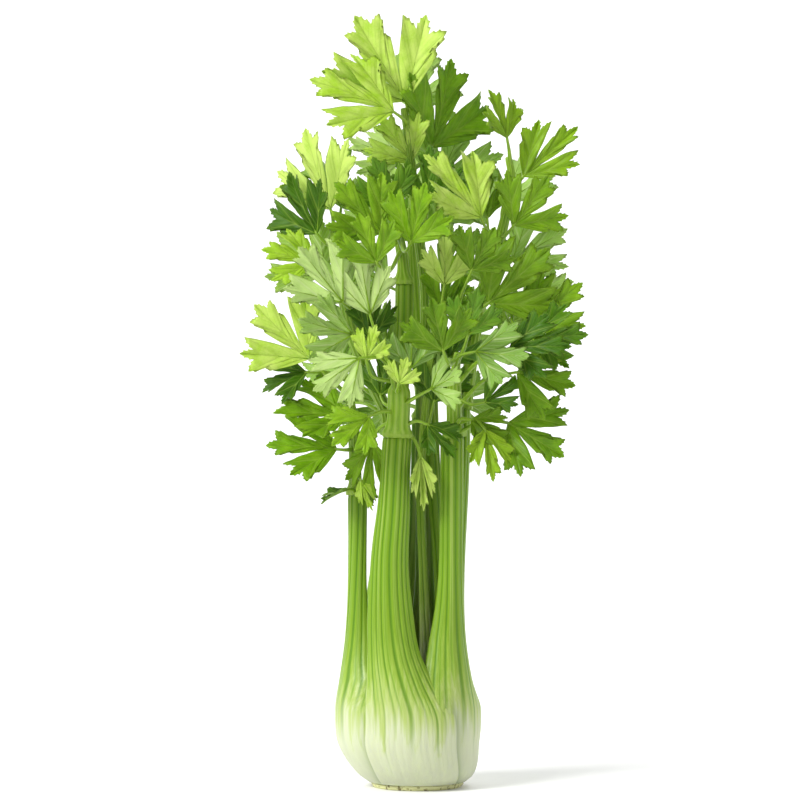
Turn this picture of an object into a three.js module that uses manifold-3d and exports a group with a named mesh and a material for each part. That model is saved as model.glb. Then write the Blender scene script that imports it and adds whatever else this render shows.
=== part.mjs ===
// A head of celery with its leafy crown, standing on its cut butt.
//
// Eleven leaf stalks grow in a spiral from a short solid butt. Each stalk is a ribbed crescent that
// wraps the bulb at its foot, narrows to a free stalk, and ends at a joint. Above the joint its frond
// starts: a leafstalk that carries broad leaves, each cut into three toothed lobes.
// Units are millimetres. +Z is up, the origin is the centre of the cut face, and the front is -Y.

import * as THREE from "three";
import Module from "manifold-3d";

const wasm = await Module();
wasm.setup();

// Driving dimensions
const BUTT_RADIUS = 27;
const SHEATH_FOOT_HEIGHT = 3.4;
const BUTT_SHOULDER_DROP = 0.9;
const BULB_AXIS_SHIFT = -5.5;
const BULB_RADIUS = [
  [0, 27.5], [3.4, 31], [7, 35], [12, 38.6], [20, 42], [32, 44.6], [46, 45], [67, 42.6],
  [91, 39.5], [130, 37], [170, 36], [320, 36],
];
const BUTT_SIDES = 28;
const BUTT_LIP = 1.2;
const BUTT_CORE = [[22, 7], [13, 20], [0, 30]];
const INNER_FOOT_HEIGHT = 7;
const BULB_TOP = 46;
const AXIS_SHIFT_HEIGHT = 30;
const GAP = 0.35;
const RIB_HEIGHT = 0.45;
const EDGE_DROP = 0.3;
const EDGE_THICKNESS = 0.6;
const EDGE_SHARES = [0.16, 0.24];
const CRESCENT_POWER = 2.2;
const WIDEST_OPENING = 1.5;
const LEAF_THICKNESS = 0.8;
const JOINT_STEPS = [2.5, 7];
const JOINT_SWELL = [[0, 0.94], [2.5, 1], [5.5, 0.4], [10, 0.06], [16, 0]];
const JOINT_DEPTH_SHARE = 0.62;
const STEM_SHARE = 0.27;
const THICK_LENGTH = 0.45;
const STEM_SIDES = 6;
const STEM_TIP_RADIUS = 2;
const PETIOLE_RADIUS = 1.3;
const PETIOLE_STEPS = 2;
const PETIOLE_PULL = 0.4;
const ROOT_SHARE = 0.96;
const LEAF_SEEDS = 20;
const OUTWARD_SHARE = 0.45;
const OUTWARD_TILT = [0, 0.8, 0.35];
const DROOPS = [0.02, 0.26];
const FOLDS = [-0.12, 0.22];
const CREASES = [0.12, 0.5];
const TWISTS = [-0.25, 0.25];
const BREADTHS = [0.74, 1];
const SMALLEST_STEP = 0.02;

// How much of the bulb's wrap is left at each height, as shares: of the sheath's width and of its curve
const WIDTH_SHARE = [
  [0, 0.72], [12, 0.88], [30, 1], [46, 0.95], [65, 0.68], [85, 0.42], [110, 0.21], [140, 0.1],
  [180, 0.03], [230, 0], [320, 0],
];
const CURVE_SHARE = [[0, 1], [46, 1], [67, 0.78], [91, 0.5], [130, 0.08], [170, 0], [320, 0]];
const WING_SHARE = [[80, 0], [120, 1], [145, 1], [195, 0]];
const BOW_SHARE = [
  [34, 0], [46, 0.06], [62, 0.5], [80, 0.88], [100, 1], [135, 0.84], [171, 0.35], [200, 0.09], [215, 0],
];
const BULB_BEND_RADIUS = 45;
const DEPTH_SHARE = [[0, 0.55], [15, 0.85], [35, 1.1], [80, 1.15], [140, 1], [320, 1]];
const RIB_SHARE = [[0, 0.3], [30, 0.6], [80, 1], [320, 1]];
const FREE_ARC = THREE.MathUtils.degToRad(80);
const MOST_DEPTH = 0.78;
const RING_HEIGHTS = [11, 20, 33, 48, 66, 86, 112, 160];
const INNER_RING_HEIGHTS = [22, 45, 75, 115, 180];

// The leaf's outline about its base, as [across, along] shares of its length.
// Tooth tips and the notches between them take turns, and each lobe is folded along the line to its middle.
const LOBES = [
  {
    middle: [-0.38, 0.38],
    edge: [
      [-0.55, 0.26], [-0.55, 0.36], [-0.78, 0.45], [-0.59, 0.51], [-0.68, 0.7], [-0.49, 0.61], [-0.45, 0.81],
    ],
  },
  {
    middle: [0, 0.6],
    edge: [
      [-0.2, 0.66], [-0.14, 0.74], [-0.25, 0.9], [-0.1, 0.87], [-0.02, 1.03], [0.09, 0.87],
      [0.22, 0.92], [0.13, 0.74], [0.2, 0.65],
    ],
  },
  {
    middle: [0.38, 0.38],
    edge: [[0.44, 0.79], [0.49, 0.59], [0.68, 0.67], [0.58, 0.48], [0.76, 0.41], [0.53, 0.34], [0.54, 0.25]],
  },
];
const CLEFTS = [[-0.055, 0.22], [0.055, 0.23]];
const LEAF_FOOT = 0.016;

// Each stalk: base side and facing in degrees round the head, how far out its base reaches, half
// width of its sheath, and the centre of its joint. Older stalks come first and lie outside.
// The bow is how far a stalk leans sideways on its way up, the wing how flat it stays there, and the
// stem how thick its leafstalk is, as a share of its width. The leafstalk keeps that thickness over the
// share of its length that thick gives.
const STALKS = {
  front: {
    side: -87, face: -95, reach: 1, wrap: 30,
    joint: [-12, -32, 211], width: 18, depth: 6.6, ribs: 8, bow: -10, wing: 0.35, stem: 0.37, thick: 0.72,
  },
  right: {
    side: -36, face: -58, reach: 0.985, wrap: 38,
    joint: [22.5, -20, 211], width: 16.5, depth: 6.3, ribs: 7,
  },
  left: {
    side: -172, face: -120, reach: 0.975, wrap: 40,
    joint: [-37, -10, 176], width: 13, depth: 5.6, ribs: 6,
  },
  right_back: {
    side: 30, face: 25, reach: 0.965, wrap: 37,
    joint: [29, 10, 228], width: 15, depth: 6.2, ribs: 7,
  },
  left_back: {
    side: 142, face: 140, reach: 0.965, wrap: 36,
    joint: [-16, 22, 220], width: 15, depth: 6.2, ribs: 7,
  },
  back: {
    side: 82, face: 86, reach: 0.955, wrap: 37,
    joint: [5, 32, 222], width: 16, depth: 6.2, ribs: 7,
  },
  inner_left: {
    side: -150, face: -110, reach: 0.74, wrap: 29,
    joint: [-8, -14, 303], width: 12, depth: 6, ribs: 5,
  },
  inner_right: {
    side: -12, face: -60, reach: 0.73, wrap: 29,
    joint: [8, 2, 258], width: 11, depth: 5.5, ribs: 5,
  },
  inner_back: {
    side: 62, face: 80, reach: 0.72, wrap: 29,
    joint: [5, 12, 264], width: 11.5, depth: 5.5, ribs: 5,
  },
  heart_left: {
    side: 165, face: 165, reach: 0.48, wrap: 17,
    joint: [-10, 4, 205], width: 8.5, depth: 4.6, ribs: 4,
  },
  heart_right: {
    side: -25, face: -25, reach: 0.45, wrap: 16,
    joint: [2, -6, 192], width: 8, depth: 4.4, ribs: 4,
  },
};

// Each frond: the points of its leafstalk above the joint, and its leaves.
// A leaf is [share along the leafstalk, base x, y, z, tip x, y, z, roll in degrees, share of the full width].
// Roll 0 turns the upper face outwards and 180 turns the pale underside outwards.
const FRONDS = {
  inner_back: {
    path: [[5, 2, 300], [0, -10, 340], [-4, -13, 380], [-8, -14, 409]],
    leaves: [
      [1, -7, -14, 413, -36, -18, 463, 0],
      [0.97, -14, -32, 405, -57, -48, 428, 20],
      [0.93, -5, 12, 412, 8, 28, 450, -15],
      [0.78, 9, 0, 386, 25, 0, 438, 10],
      [0.85, -3, -14, 377, -22, -14, 404, -10],
      [0.72, -9, 4, 379, -42, 6, 390, 35],
      [0.6, 13, 12, 366, 30, 24, 408, 20],
      [0.42, 6, -22, 350, 8, -28, 385, -10],
    ],
  },
  right_back: {
    path: [[38, 8, 290], [50, -2, 330], [57, -8, 366], [55, -9, 380]],
    leaves: [
      [1, 54, -14, 391, 47, -22, 419, 10],
      [0.85, 64, -8, 368, 96, -6, 399, -20, 0.7],
      [0.7, 58, -18, 338, 79, -30, 364, 10],
      [0.5, 38, -32, 342, 8, -42, 380, 5],
      [0.6, 42, -18, 342, 40, -22, 376, 15, 0.65],
      [0.76, 53, 6, 354, 66, 26, 384, 0],
      [0.45, 58, 16, 318, 90, 26, 338, 0],
      [0.22, 50, 26, 276, 78, 40, 294, 0],
    ],
  },
  left_back: {
    path: [[-38, 0, 270], [-45, -14, 300], [-51, -19, 338]],
    leaves: [
      [1, -52, -14, 348, -70, -10, 396, -10],
      [0.93, -60, -20, 333, -80, -20, 368, -15],
      [0.83, -61, -28, 315, -91, -34, 325, 20],
      [0.72, -44, -46, 291, -70, -56, 323, 170],
      [0.78, -42, -34, 297, -48, -42, 334, 190],
      [0.42, -38, -54, 272, -72, -68, 279, 175],
      [0.97, -46, 2, 350, -44, 26, 386, 0],
      [0.6, -56, 12, 310, -84, 30, 334, 0],
      [0.3, -28, -30, 270, -24, -34, 302, 0, 0.8],
      [0.12, -44, 20, 250, -70, 34, 272, 0],
      [0.02, -40, 30, 232, -58, 48, 226, 0],
    ],
  },
  inner_left: {
    path: [[-9, -16, 320], [-14, -20, 345]],
    leaves: [
      [1, -15, -30, 347, -25, -38, 377, 10],
      [0.8, -22, -40, 332, -47, -50, 362, 15],
      [0.5, -24, -54, 314, -34, -64, 342, 5, 0.9],
      [0.7, -4, -50, 326, 5, -64, 360, -10],
    ],
  },
  inner_right: {
    path: [[30, 0, 282], [50, -6, 300], [62, -12, 306]],
    leaves: [
      [0.55, 42, -32, 291, 78, -38, 322, 0],
      [0.8, 66, -26, 278, 98, -28, 303, -5],
      [1, 68, -36, 270, 100, -44, 272, 10],
      [0.4, 32, -44, 310, 46, -54, 334, 10],
      [0.9, 64, 2, 298, 94, 6, 306, 0],
    ],
  },
  right: {
    path: [[22, -24, 240], [24, -28, 262]],
    leaves: [
      [0.3, 59, -38, 250, 92, -48, 242, 15],
      [0.6, 54, -50, 264, 86, -66, 267, 0],
      [0.02, 54, -30, 220, 86, -38, 200, 10],
      [0.16, 40, -42, 216, 45, -52, 187, 0, 0.75],
      [0.75, 34, -54, 262, 66, -66, 258, 185],
      [0.9, 30, -44, 272, 36, -52, 298, -10],
      [1, 15, -66, 262, 9, -78, 292, 0],
      [0.5, 40, -30, 232, 62, -36, 246, 0, 0.9],
      [0.1, 32, -36, 222, 54, -42, 210, 0, 0.8],
    ],
  },
  front: {
    path: [[-11, -34, 230], [-11, -38, 248]],
    leaves: [
      [0.85, -11, -60, 243, -6, -68, 258, 0],
      [1, -4, -50, 252, -3, -57, 280, 180],
      [0.5, -22, -26, 236, -19, -24, 262, 10],
      [0.92, -30, -60, 257, -24, -68, 277, 0],
      [0.6, -34, -70, 258, -60, -80, 238, 180],
      [0.5, 8, -50, 240, 28, -62, 250, 175],
      [0.12, 6, -38, 219, 22, -46, 200, -10],
      [0.4, -28, -48, 224, -50, -62, 208, 5],
      [0.3, -27, -25, 209, -31, -27, 172, 5, 0.6],
      [0.25, 2, -31, 200, 4, -32, 168, 0, 0.45],
      [0.97, -28, -44, 284, -35, -50, 322, 190, 0.7],
    ],
  },
  left: {
    path: [[-38, -12, 212], [-42, -17, 248]],
    leaves: [
      [0.4, -48, -22, 204, -88, -30, 210, 20],
      [0, -42, -20, 180, -58, -28, 175, 50],
      [0.15, -34, -22, 186, -28, -26, 168, 0, 0.6],
      [0.6, -42, -30, 224, -82, -42, 231, 20],
      [0.85, -64, -32, 258, -96, -32, 290, -5],
      [1, -66, -28, 250, -93, -30, 243, 20],
    ],
  },
  heart_left: {
    path: [[-14, 4, 236], [-17, 4, 258]],
    leaves: [
      [1, -18, 2, 264, -22, 2, 292, 0, 0.7],
    ],
  },
  heart_right: {
    path: [[6, -14, 240], [12, -24, 280]],
    leaves: [
      [1, 16, -32, 302, 18, -38, 332, 0],
      [0.9, 16, -22, 286, 30, -26, 304, 0, 0.6],
      [0.5, 18, -12, 256, 34, -18, 280, 0, 0.8],
      [1, 14, -14, 288, 21, -16, 324, 0, 0.8],
      [0.1, 10, -16, 232, 17, -19, 264, 0, 0.9],
    ],
  },
  back: {
    path: [[1, 38, 262], [-2, 40, 310], [-4, 36, 352]],
    leaves: [
      [1, -4, 42, 358, -6, 50, 398, 0],
      [0.93, 12, 32, 346, 38, 32, 376, 0],
      [0.88, -16, 40, 338, -40, 46, 366, 0],
      [0.7, 16, 46, 312, 44, 54, 338, 0],
      [0.8, 4, 50, 334, 10, 64, 368, 0],
      [0.62, -18, 46, 304, -50, 54, 324, 0],
      [0.42, 22, 48, 272, 56, 58, 290, 0],
      [0.36, -20, 48, 266, -54, 58, 282, 0],
      [0.28, 6, 54, 256, 12, 70, 284, 0],
      [0.12, 22, 42, 232, 50, 52, 228, 0],
      [0.04, -18, 44, 230, -46, 54, 220, 0],
    ],
  },
};

// Finishes
function finish(name, colour, roughness) {
  return new THREE.MeshStandardMaterial({ name, color: colour, roughness, metalness: 0 });
}
const BUTT_FINISH = finish("butt", 0xd9d8b8, 0.6);
const STALK_FINISH = finish("stalk", 0x9cc24a, 0.35);
const HEART_FINISH = finish("heart", 0xc9dc8a, 0.35);
const LEAF_FINISH = finish("leaf", 0x6fa825, 0.5);

const lerp = THREE.MathUtils.lerp;
const radians = THREE.MathUtils.degToRad;
const ease = (x) => THREE.MathUtils.smoothstep(x, 0, 1);

// A number between 0 and 1 that always follows from the seed
function chance(seed) {
  const value = Math.sin(seed * 12.9898) * 43758.5453;
  return value - Math.floor(value);
}

// A smooth line through [x, y] points, flat past its ends
function curve(points, x) {
  const last = points.length - 1;
  if (x <= points[0][0]) return points[0][1];
  if (x >= points[last][0]) return points[last][1];
  const i = points.findIndex((point) => point[0] > x) - 1;
  const slope = (j) => (points[j + 1][1] - points[j][1]) / (points[j + 1][0] - points[j][0]);
  const level = (j) => j === 0 || j === last || slope(j - 1) * slope(j) <= 0;
  const slopeAt = (j) => (level(j) ? 0 : (slope(j - 1) + slope(j)) / 2);
  const step = points[i + 1][0] - points[i][0];
  const t = (x - points[i][0]) / step;
  const rise = (1 - t) ** 2 * t * slopeAt(i) * step - (1 - t) * t * t * slopeAt(i + 1) * step;
  return lerp(points[i][1], points[i + 1][1], ease(t)) + rise;
}

// A closed surface as a manifold-3d solid
function solidOf(vertices, triangles) {
  const vertProperties = new Float32Array(vertices.flatMap((v) => [v.x, v.y, v.z]));
  const triVerts = new Uint32Array(triangles.flat());
  const solid = new wasm.Manifold(new wasm.Mesh({ numProp: 3, vertProperties, triVerts }));
  if (solid.volume() > 0) return solid;
  const turned = new Uint32Array(triangles.flatMap(([a, b, c]) => [a, c, b]));
  return new wasm.Manifold(new wasm.Mesh({ numProp: 3, vertProperties, triVerts: turned }));
}

// Joins rings of equally many points into a closed body, with its end faces cut as `cap` says
function loft(rings, cap) {
  const n = rings[0].length;
  const triangles = [];
  for (let r = 0; r + 1 < rings.length; r++)
    for (let i = 0; i < n; i++) {
      const j = (i + 1) % n;
      const a = r * n + i;
      const b = r * n + j;
      triangles.push([a, b, b + n], [a, b + n, a + n]);
    }
  const top = (rings.length - 1) * n;
  for (const [a, b, c] of cap) triangles.push([c, b, a], [top + a, top + b, top + c]);
  return solidOf(rings.flat(), triangles);
}

// The ring of a stalk's crescent section at one height
function stalkRing(stalk, z, outerCount, innerCount, grow) {
  const [jointX, jointY, jointZ] = stalk.joint;
  const rise = ease((z - BULB_TOP) / (jointZ - BULB_TOP));
  const facing = radians(lerp(stalk.side, stalk.face, rise));
  const side = radians(stalk.side);
  const axisX = BULB_AXIS_SHIFT * ease(z / AXIS_SHIFT_HEIGHT);
  const bulb = curve(BULB_RADIUS, z) * stalk.reach;
  const bow = (stalk.bow ?? 0) * curve(BOW_SHARE, z);
  const halfDepth = stalk.depth / 2;
  const footX = axisX + bulb * Math.cos(side);
  const footY = bulb * Math.sin(side);
  const outerX = lerp(footX, jointX + halfDepth * Math.cos(facing), rise) - bow * Math.sin(side);
  const outerY = lerp(footY, jointY + halfDepth * Math.sin(facing), rise) + bow * Math.cos(side);

  const freeRadius = stalk.width / 2 / Math.sin(FREE_ARC);
  const flat = curve(CURVE_SHARE, z) + (stalk.wing ?? 0) * curve(WING_SHARE, z);
  const bulbBend = z < BULB_TOP ? curve(BULB_RADIUS, z) : BULB_BEND_RADIUS;
  const bend = lerp(1 / freeRadius, 1 / (bulbBend * stalk.reach), flat);
  const halfArc = lerp(freeRadius * FREE_ARC, stalk.wrap, curve(WIDTH_SHARE, z));
  const radius = 1 / bend;
  const open = Math.min(halfArc * bend, WIDEST_OPENING) + grow / radius;
  const centreX = outerX - radius * Math.cos(facing);
  const centreY = outerY - radius * Math.sin(facing);

  const middle = stalk.depth * curve(DEPTH_SHARE, z);
  const edge = lerp(...EDGE_SHARES, ease((z - BULB_TOP) / BULB_TOP)) * middle + EDGE_THICKNESS;
  const rib = (RIB_HEIGHT / 2) * curve(RIB_SHARE, z);
  const point = (distance, angle) => {
    const direction = facing + angle;
    const x = centreX + distance * Math.cos(direction);
    const y = centreY + distance * Math.sin(direction);
    return new THREE.Vector3(x, y, z);
  };
  const ring = [];
  for (let i = 0; i < outerCount; i++) {
    const u = -1 + (2 * i) / (outerCount - 1);
    const end = i === 0 || i === outerCount - 1;
    ring.push(point(radius + grow + (end ? -EDGE_DROP : i % 2 ? rib : -rib), open * u));
  }
  for (let i = innerCount - 1; i >= 0; i--) {
    const u = -1 + (2 * i) / (innerCount - 1);
    const thick = Math.min(edge + (middle - edge) * (1 - Math.abs(u) ** CRESCENT_POWER), MOST_DEPTH * radius);
    ring.push(point(radius - thick - grow, open * u));
  }
  return ring;
}

function stalkSolid(stalk, grow) {
  const outerCount = 2 * stalk.ribs + 1;
  const innerCount = stalk.ribs > 5 ? 5 : 4;
  const heights = stalk.ribs > 5 ? RING_HEIGHTS : INNER_RING_HEIGHTS;
  const foot = stalk.reach > 0.9 ? SHEATH_FOOT_HEIGHT : INNER_FOOT_HEIGHT;
  const top = stalk.joint[2];
  const levels = [foot - grow, ...heights.filter((z) => z > foot + 3 && z < top - 15), top + grow];
  if (top > 250) levels.splice(-1, 0, (top + heights.at(-1)) / 2);
  const rings = levels.map((z) => stalkRing(stalk, z, outerCount, innerCount, grow));
  const flat = rings.at(-1).map((v) => new THREE.Vector2(v.x, v.y));
  return loft(rings, THREE.ShapeUtils.triangulateShape(flat, []));
}

// The centre line of a frond's leafstalk
function stemLine(stalk, path) {
  const [x, y, z] = stalk.joint;
  return new THREE.CatmullRomCurve3([[x, y, z + GAP], ...path].map((p) => new THREE.Vector3(...p)));
}

// A frond's leafstalk: a swollen joint that narrows into a round stem
function stemSolid(stalk, path, grow) {
  const line = stemLine(stalk, path);
  const length = line.getLength();
  const thick = stalk.thick ?? THICK_LENGTH;
  const facing = radians(stalk.face);
  const sideways = new THREE.Vector3(-Math.sin(facing), Math.cos(facing), 0);
  const steps = path.length;
  const distances = [0, ...JOINT_STEPS];
  for (let i = 1; i <= steps; i++) distances.push(lerp(JOINT_STEPS.at(-1), length, i / steps));
  const rings = distances.map((distance) => {
    const along = line.getTangentAt(distance / length);
    const across = sideways.clone().addScaledVector(along, -sideways.dot(along)).normalize();
    const out = new THREE.Vector3().crossVectors(across, along);
    const centre = line.getPointAt(distance / length);
    if (distance === 0) centre.addScaledVector(along, -grow);
    if (distance === length) centre.addScaledVector(along, grow);
    const slim = ease((distance / length - thick) / (1 - thick));
    const thin = lerp(stalk.width * (stalk.stem ?? STEM_SHARE), STEM_TIP_RADIUS, slim);
    const swell = curve(JOINT_SWELL, distance);
    const wide = lerp(thin, stalk.width / 2, swell) + grow;
    const deep = lerp(thin, stalk.depth * JOINT_DEPTH_SHARE, swell) + grow;
    return Array.from({ length: STEM_SIDES }, (_, k) => {
      const turn = (2 * Math.PI * (k + 0.5)) / STEM_SIDES;
      const point = centre.clone().addScaledVector(across, -wide * Math.cos(turn));
      return point.addScaledVector(out, deep * Math.sin(turn));
    });
  });
  return loft(rings, Array.from({ length: STEM_SIDES - 2 }, (_, k) => [0, k + 1, k + 2]));
}

// The frame of a leaf: its base, its direction, its side and its upper face's normal
function leafFrame([, bx, by, bz, tx, ty, tz, roll]) {
  const base = new THREE.Vector3(bx, by, bz);
  const along = new THREE.Vector3(tx, ty, tz).sub(base);
  const length = along.length();
  along.normalize();
  const out = new THREE.Vector3(bx - BULB_AXIS_SHIFT, by, 0).normalize().multiplyScalar(OUTWARD_SHARE);
  const [tiltX, tiltY, tiltZ] = OUTWARD_TILT;
  out.add(new THREE.Vector3(tiltX, by > 0 ? tiltY : -tiltY, tiltZ));
  const face = out.addScaledVector(along, -out.dot(along)).normalize().applyAxisAngle(along, radians(roll));
  const across = new THREE.Vector3().crossVectors(along, face);
  return { base, along, across, face, length };
}

// One leaf: a small stem from the frond's line to a thin arched blade with three toothed lobes
function leafSolid(leaf, line, seed, grow) {
  const { base, along, across, face, length } = leafFrame(leaf);
  const droop = lerp(...DROOPS, chance(seed));
  const fold = lerp(...FOLDS, chance(seed + 0.37));
  const crease = lerp(...CREASES, chance(seed + 0.11));
  const twist = lerp(...TWISTS, chance(seed + 0.71));
  const breadth = lerp(...BREADTHS, chance(seed + 0.53)) * (leaf[8] ?? 1);
  const half = LEAF_THICKNESS / 2 + grow;
  const aside = ([u, v]) =>
    Math.min(...LOBES.map(({ middle: [mu, mv] }) => Math.abs(u * mv - v * mu) / Math.hypot(mu, mv)));
  const place = ([u, v], lift) => {
    const folded = fold * Math.abs(u) + crease * aside([u, v]);
    const height = length * (folded + twist * u * v - droop * v * v) + lift;
    return base
      .clone()
      .addScaledVector(across, u * breadth * length)
      .addScaledVector(along, v * length)
      .addScaledVector(face, height);
  };
  const swell = ([u, v], [mu, mv]) => {
    const share = grow / (Math.hypot(u - mu, v - mv) * length);
    return [u + (u - mu) * share, v + (v - mv) * share];
  };

  const vertices = [];
  const double = (point) => {
    vertices.push(place(point, half), place(point, -half));
    return { top: vertices.length - 2, under: vertices.length - 1 };
  };
  const single = (point) => {
    vertices.push(place(point, 0));
    return { top: vertices.length - 1, under: vertices.length - 1 };
  };
  const faces = [];
  const footLeft = double([-LEAF_FOOT, 0]);
  const footRight = double([LEAF_FOOT, 0]);
  const corners = [footLeft, ...CLEFTS.map(double), footRight];
  const middles = LOBES.map(({ middle }) => double(middle));
  const outline = [footLeft];
  LOBES.forEach(({ middle, edge }, lobe) => {
    const points = edge.map((point, i) => (i % 2 ? double : single)(grow ? swell(point, middle) : point));
    const chain = [corners[lobe], ...points, corners[lobe + 1]];
    for (let i = 0; i + 1 < chain.length; i++) faces.push([middles[lobe], chain[i], chain[i + 1]]);
    outline.push(...points, corners[lobe + 1]);
  });
  corners.slice(1).forEach((corner, lobe) => faces.push([corners[lobe], middles[lobe], corner]));
  faces.push([corners[0], corners[1], corners[2]], [corners[0], corners[2], corners[3]]);

  const triangles = [];
  for (const [a, b, c] of faces) triangles.push([a.top, b.top, c.top], [c.under, b.under, a.under]);
  for (let i = 0; i + 1 < outline.length; i++) {
    const [a, b] = [outline[i], outline[i + 1]];
    if (b.top !== b.under) triangles.push([b.top, a.top, b.under]);
    if (a.top !== a.under) triangles.push([a.top, a.under, b.under]);
  }

  const root = line.getPointAt(ROOT_SHARE * leaf[0]);
  const reach = root.distanceTo(base);
  const halfway = root.clone().lerp(base, 0.5);
  const bend = base.clone().addScaledVector(along, -PETIOLE_PULL * reach).lerp(halfway, 0.5);
  const petiole = new THREE.CatmullRomCurve3([root, bend, base]);
  let last = [footLeft.top, footLeft.under, footRight.under, footRight.top];
  for (let i = PETIOLE_STEPS - 1; i >= 0; i--) {
    const t = i / PETIOLE_STEPS;
    const axis = petiole.getTangent(t);
    const wide = across.clone().addScaledVector(axis, -across.dot(axis)).normalize();
    const deep = new THREE.Vector3().crossVectors(wide, axis);
    const centre = petiole.getPoint(t);
    const next = [[-1, 1], [-1, -1], [1, -1], [1, 1]].map(([sideways, up]) => {
      const size = PETIOLE_RADIUS + grow;
      vertices.push(centre.clone().addScaledVector(wide, sideways * size).addScaledVector(deep, up * size));
      return vertices.length - 1;
    });
    for (let k = 0; k < 4; k++) {
      const m = (k + 1) % 4;
      triangles.push([last[k], next[k], next[m]], [last[k], next[m], last[m]]);
    }
    last = next;
  }
  triangles.push([last[2], last[1], last[0]], [last[3], last[2], last[0]]);
  return solidOf(vertices, triangles);
}

function frondSolid(name, order, grow) {
  const stalk = STALKS[name];
  const { path, leaves } = FRONDS[name];
  const line = stemLine(stalk, path);
  const blades = leaves.map((leaf, i) => leafSolid(leaf, line, LEAF_SEEDS * order + i, grow));
  return wasm.Manifold.union([stemSolid(stalk, path, grow), ...blades]);
}

// The largest body that is left of a cut solid
function largest(solid) {
  return solid.decompose().sort((a, b) => b.volume() - a.volume())[0].simplify(SMALLEST_STEP);
}

function meshOf(name, solid, material) {
  const made = solid.getMesh();
  const geometry = new THREE.BufferGeometry();
  geometry.setAttribute("position", new THREE.BufferAttribute(made.vertProperties, made.numProp));
  geometry.setIndex(new THREE.BufferAttribute(made.triVerts, 1));
  geometry.computeVertexNormals();
  const mesh = new THREE.Mesh(geometry, material);
  mesh.name = name;
  return mesh;
}

function buttSolid(grow) {
  const profile = [
    [0, -grow],
    [BUTT_RADIUS + grow, -grow],
    [BUTT_RADIUS + BUTT_LIP + grow, SHEATH_FOOT_HEIGHT - BUTT_SHOULDER_DROP],
    [BUTT_RADIUS + BUTT_LIP / 3 + grow, SHEATH_FOOT_HEIGHT + grow],
    ...BUTT_CORE.map(([radius, z]) => [radius ? radius + grow : 0, z + grow]),
  ];
  const lathe = new THREE.LatheGeometry(profile.map(([r, z]) => new THREE.Vector2(r, z)), BUTT_SIDES);
  lathe.rotateX(Math.PI / 2);
  const position = lathe.getAttribute("position");
  const vertices = [];
  const index = new Map();
  const shared = Array.from({ length: position.count }, (_, i) => {
    const v = new THREE.Vector3().fromBufferAttribute(position, i);
    const key = [v.x, v.y, v.z].map((c) => Math.round(c * 1e4)).join();
    if (!index.has(key)) index.set(key, vertices.push(v) - 1);
    return index.get(key);
  });
  const corner = Array.from(lathe.getIndex().array, (i) => shared[i]);
  const triangles = [];
  for (let i = 0; i < corner.length; i += 3) {
    const [a, b, c] = corner.slice(i, i + 3);
    if (a !== b && b !== c && a !== c) triangles.push([a, b, c]);
  }
  return solidOf(vertices, triangles);
}

const head = new THREE.Group();
head.add(meshOf("butt", buttSolid(0), BUTT_FINISH));
let taken = buttSolid(GAP);
for (const [name, stalk] of Object.entries(STALKS)) {
  const solid = largest(stalkSolid(stalk, 0).subtract(taken));
  head.add(meshOf(`${name}_stalk`, solid, name.startsWith("heart") ? HEART_FINISH : STALK_FINISH));
  taken = taken.add(stalkSolid(stalk, GAP));
}
Object.keys(FRONDS).forEach((name, order) => {
  const solid = largest(frondSolid(name, order, 0).subtract(taken));
  head.add(meshOf(`${name}_frond`, solid, LEAF_FINISH));
  taken = taken.add(frondSolid(name, order, GAP));
});

export default head;
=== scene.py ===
# %% [markdown]
# # A head of celery
# The finished picture is one head of celery that stands on its cut butt. Every piece is grown from a few
# measured values: the outline of the bulb, one crescent section for the stalks, and one toothed leaf shape.
# The first cell opens the fixed model that all pieces fit around.

# %% Open the fixed model
import math

import bpy
import numpy as np
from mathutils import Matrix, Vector


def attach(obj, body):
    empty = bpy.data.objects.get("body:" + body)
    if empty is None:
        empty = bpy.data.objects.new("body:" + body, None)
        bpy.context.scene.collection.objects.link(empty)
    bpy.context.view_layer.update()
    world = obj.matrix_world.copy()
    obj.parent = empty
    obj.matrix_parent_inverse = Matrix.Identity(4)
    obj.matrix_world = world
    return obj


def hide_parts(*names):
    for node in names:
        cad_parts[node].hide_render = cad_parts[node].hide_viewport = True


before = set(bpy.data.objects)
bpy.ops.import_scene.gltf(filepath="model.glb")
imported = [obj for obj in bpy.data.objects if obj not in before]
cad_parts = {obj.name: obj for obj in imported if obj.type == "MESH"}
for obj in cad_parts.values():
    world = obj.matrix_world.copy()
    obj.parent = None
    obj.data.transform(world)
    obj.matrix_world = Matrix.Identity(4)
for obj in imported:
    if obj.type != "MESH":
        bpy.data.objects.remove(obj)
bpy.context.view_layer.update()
MM = 0.001

# %% [markdown]
# The photograph was taken from far away, level with the middle of the head, so its lines hardly converge.
# A long lens two metres off gives the same look. One pixel of the photograph is 0.605 mm on the head.

# %% Set the camera
PIXEL = 0.605 * MM
PICTURE_PIXELS = 800
CAMERA_DISTANCE = 2.0
SENSOR = 36.0
VIEW_X = -10.3 * MM
VIEW_Z = 233.5 * MM
camera = bpy.data.objects.new("camera", bpy.data.cameras.new("camera"))
camera.data.sensor_width = SENSOR
camera.data.lens = SENSOR * CAMERA_DISTANCE / (PICTURE_PIXELS * PIXEL)
camera.location = (VIEW_X, -CAMERA_DISTANCE, VIEW_Z)
camera.rotation_euler = (math.radians(90), 0, 0)
bpy.context.collection.objects.link(camera)
bpy.context.scene.camera = camera
print("lens", round(camera.data.lens, 1), "mm")

# %% [markdown]
# The bulb swells out of the butt and narrows to upright stalks. Its outline is a short list of heights and
# radii with a smooth line through them. The same kind of line says how much of each stalk's foot still wraps
# round the bulb at each height. A smooth line keeps level at a peak, so nothing bulges by mistake.

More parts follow.
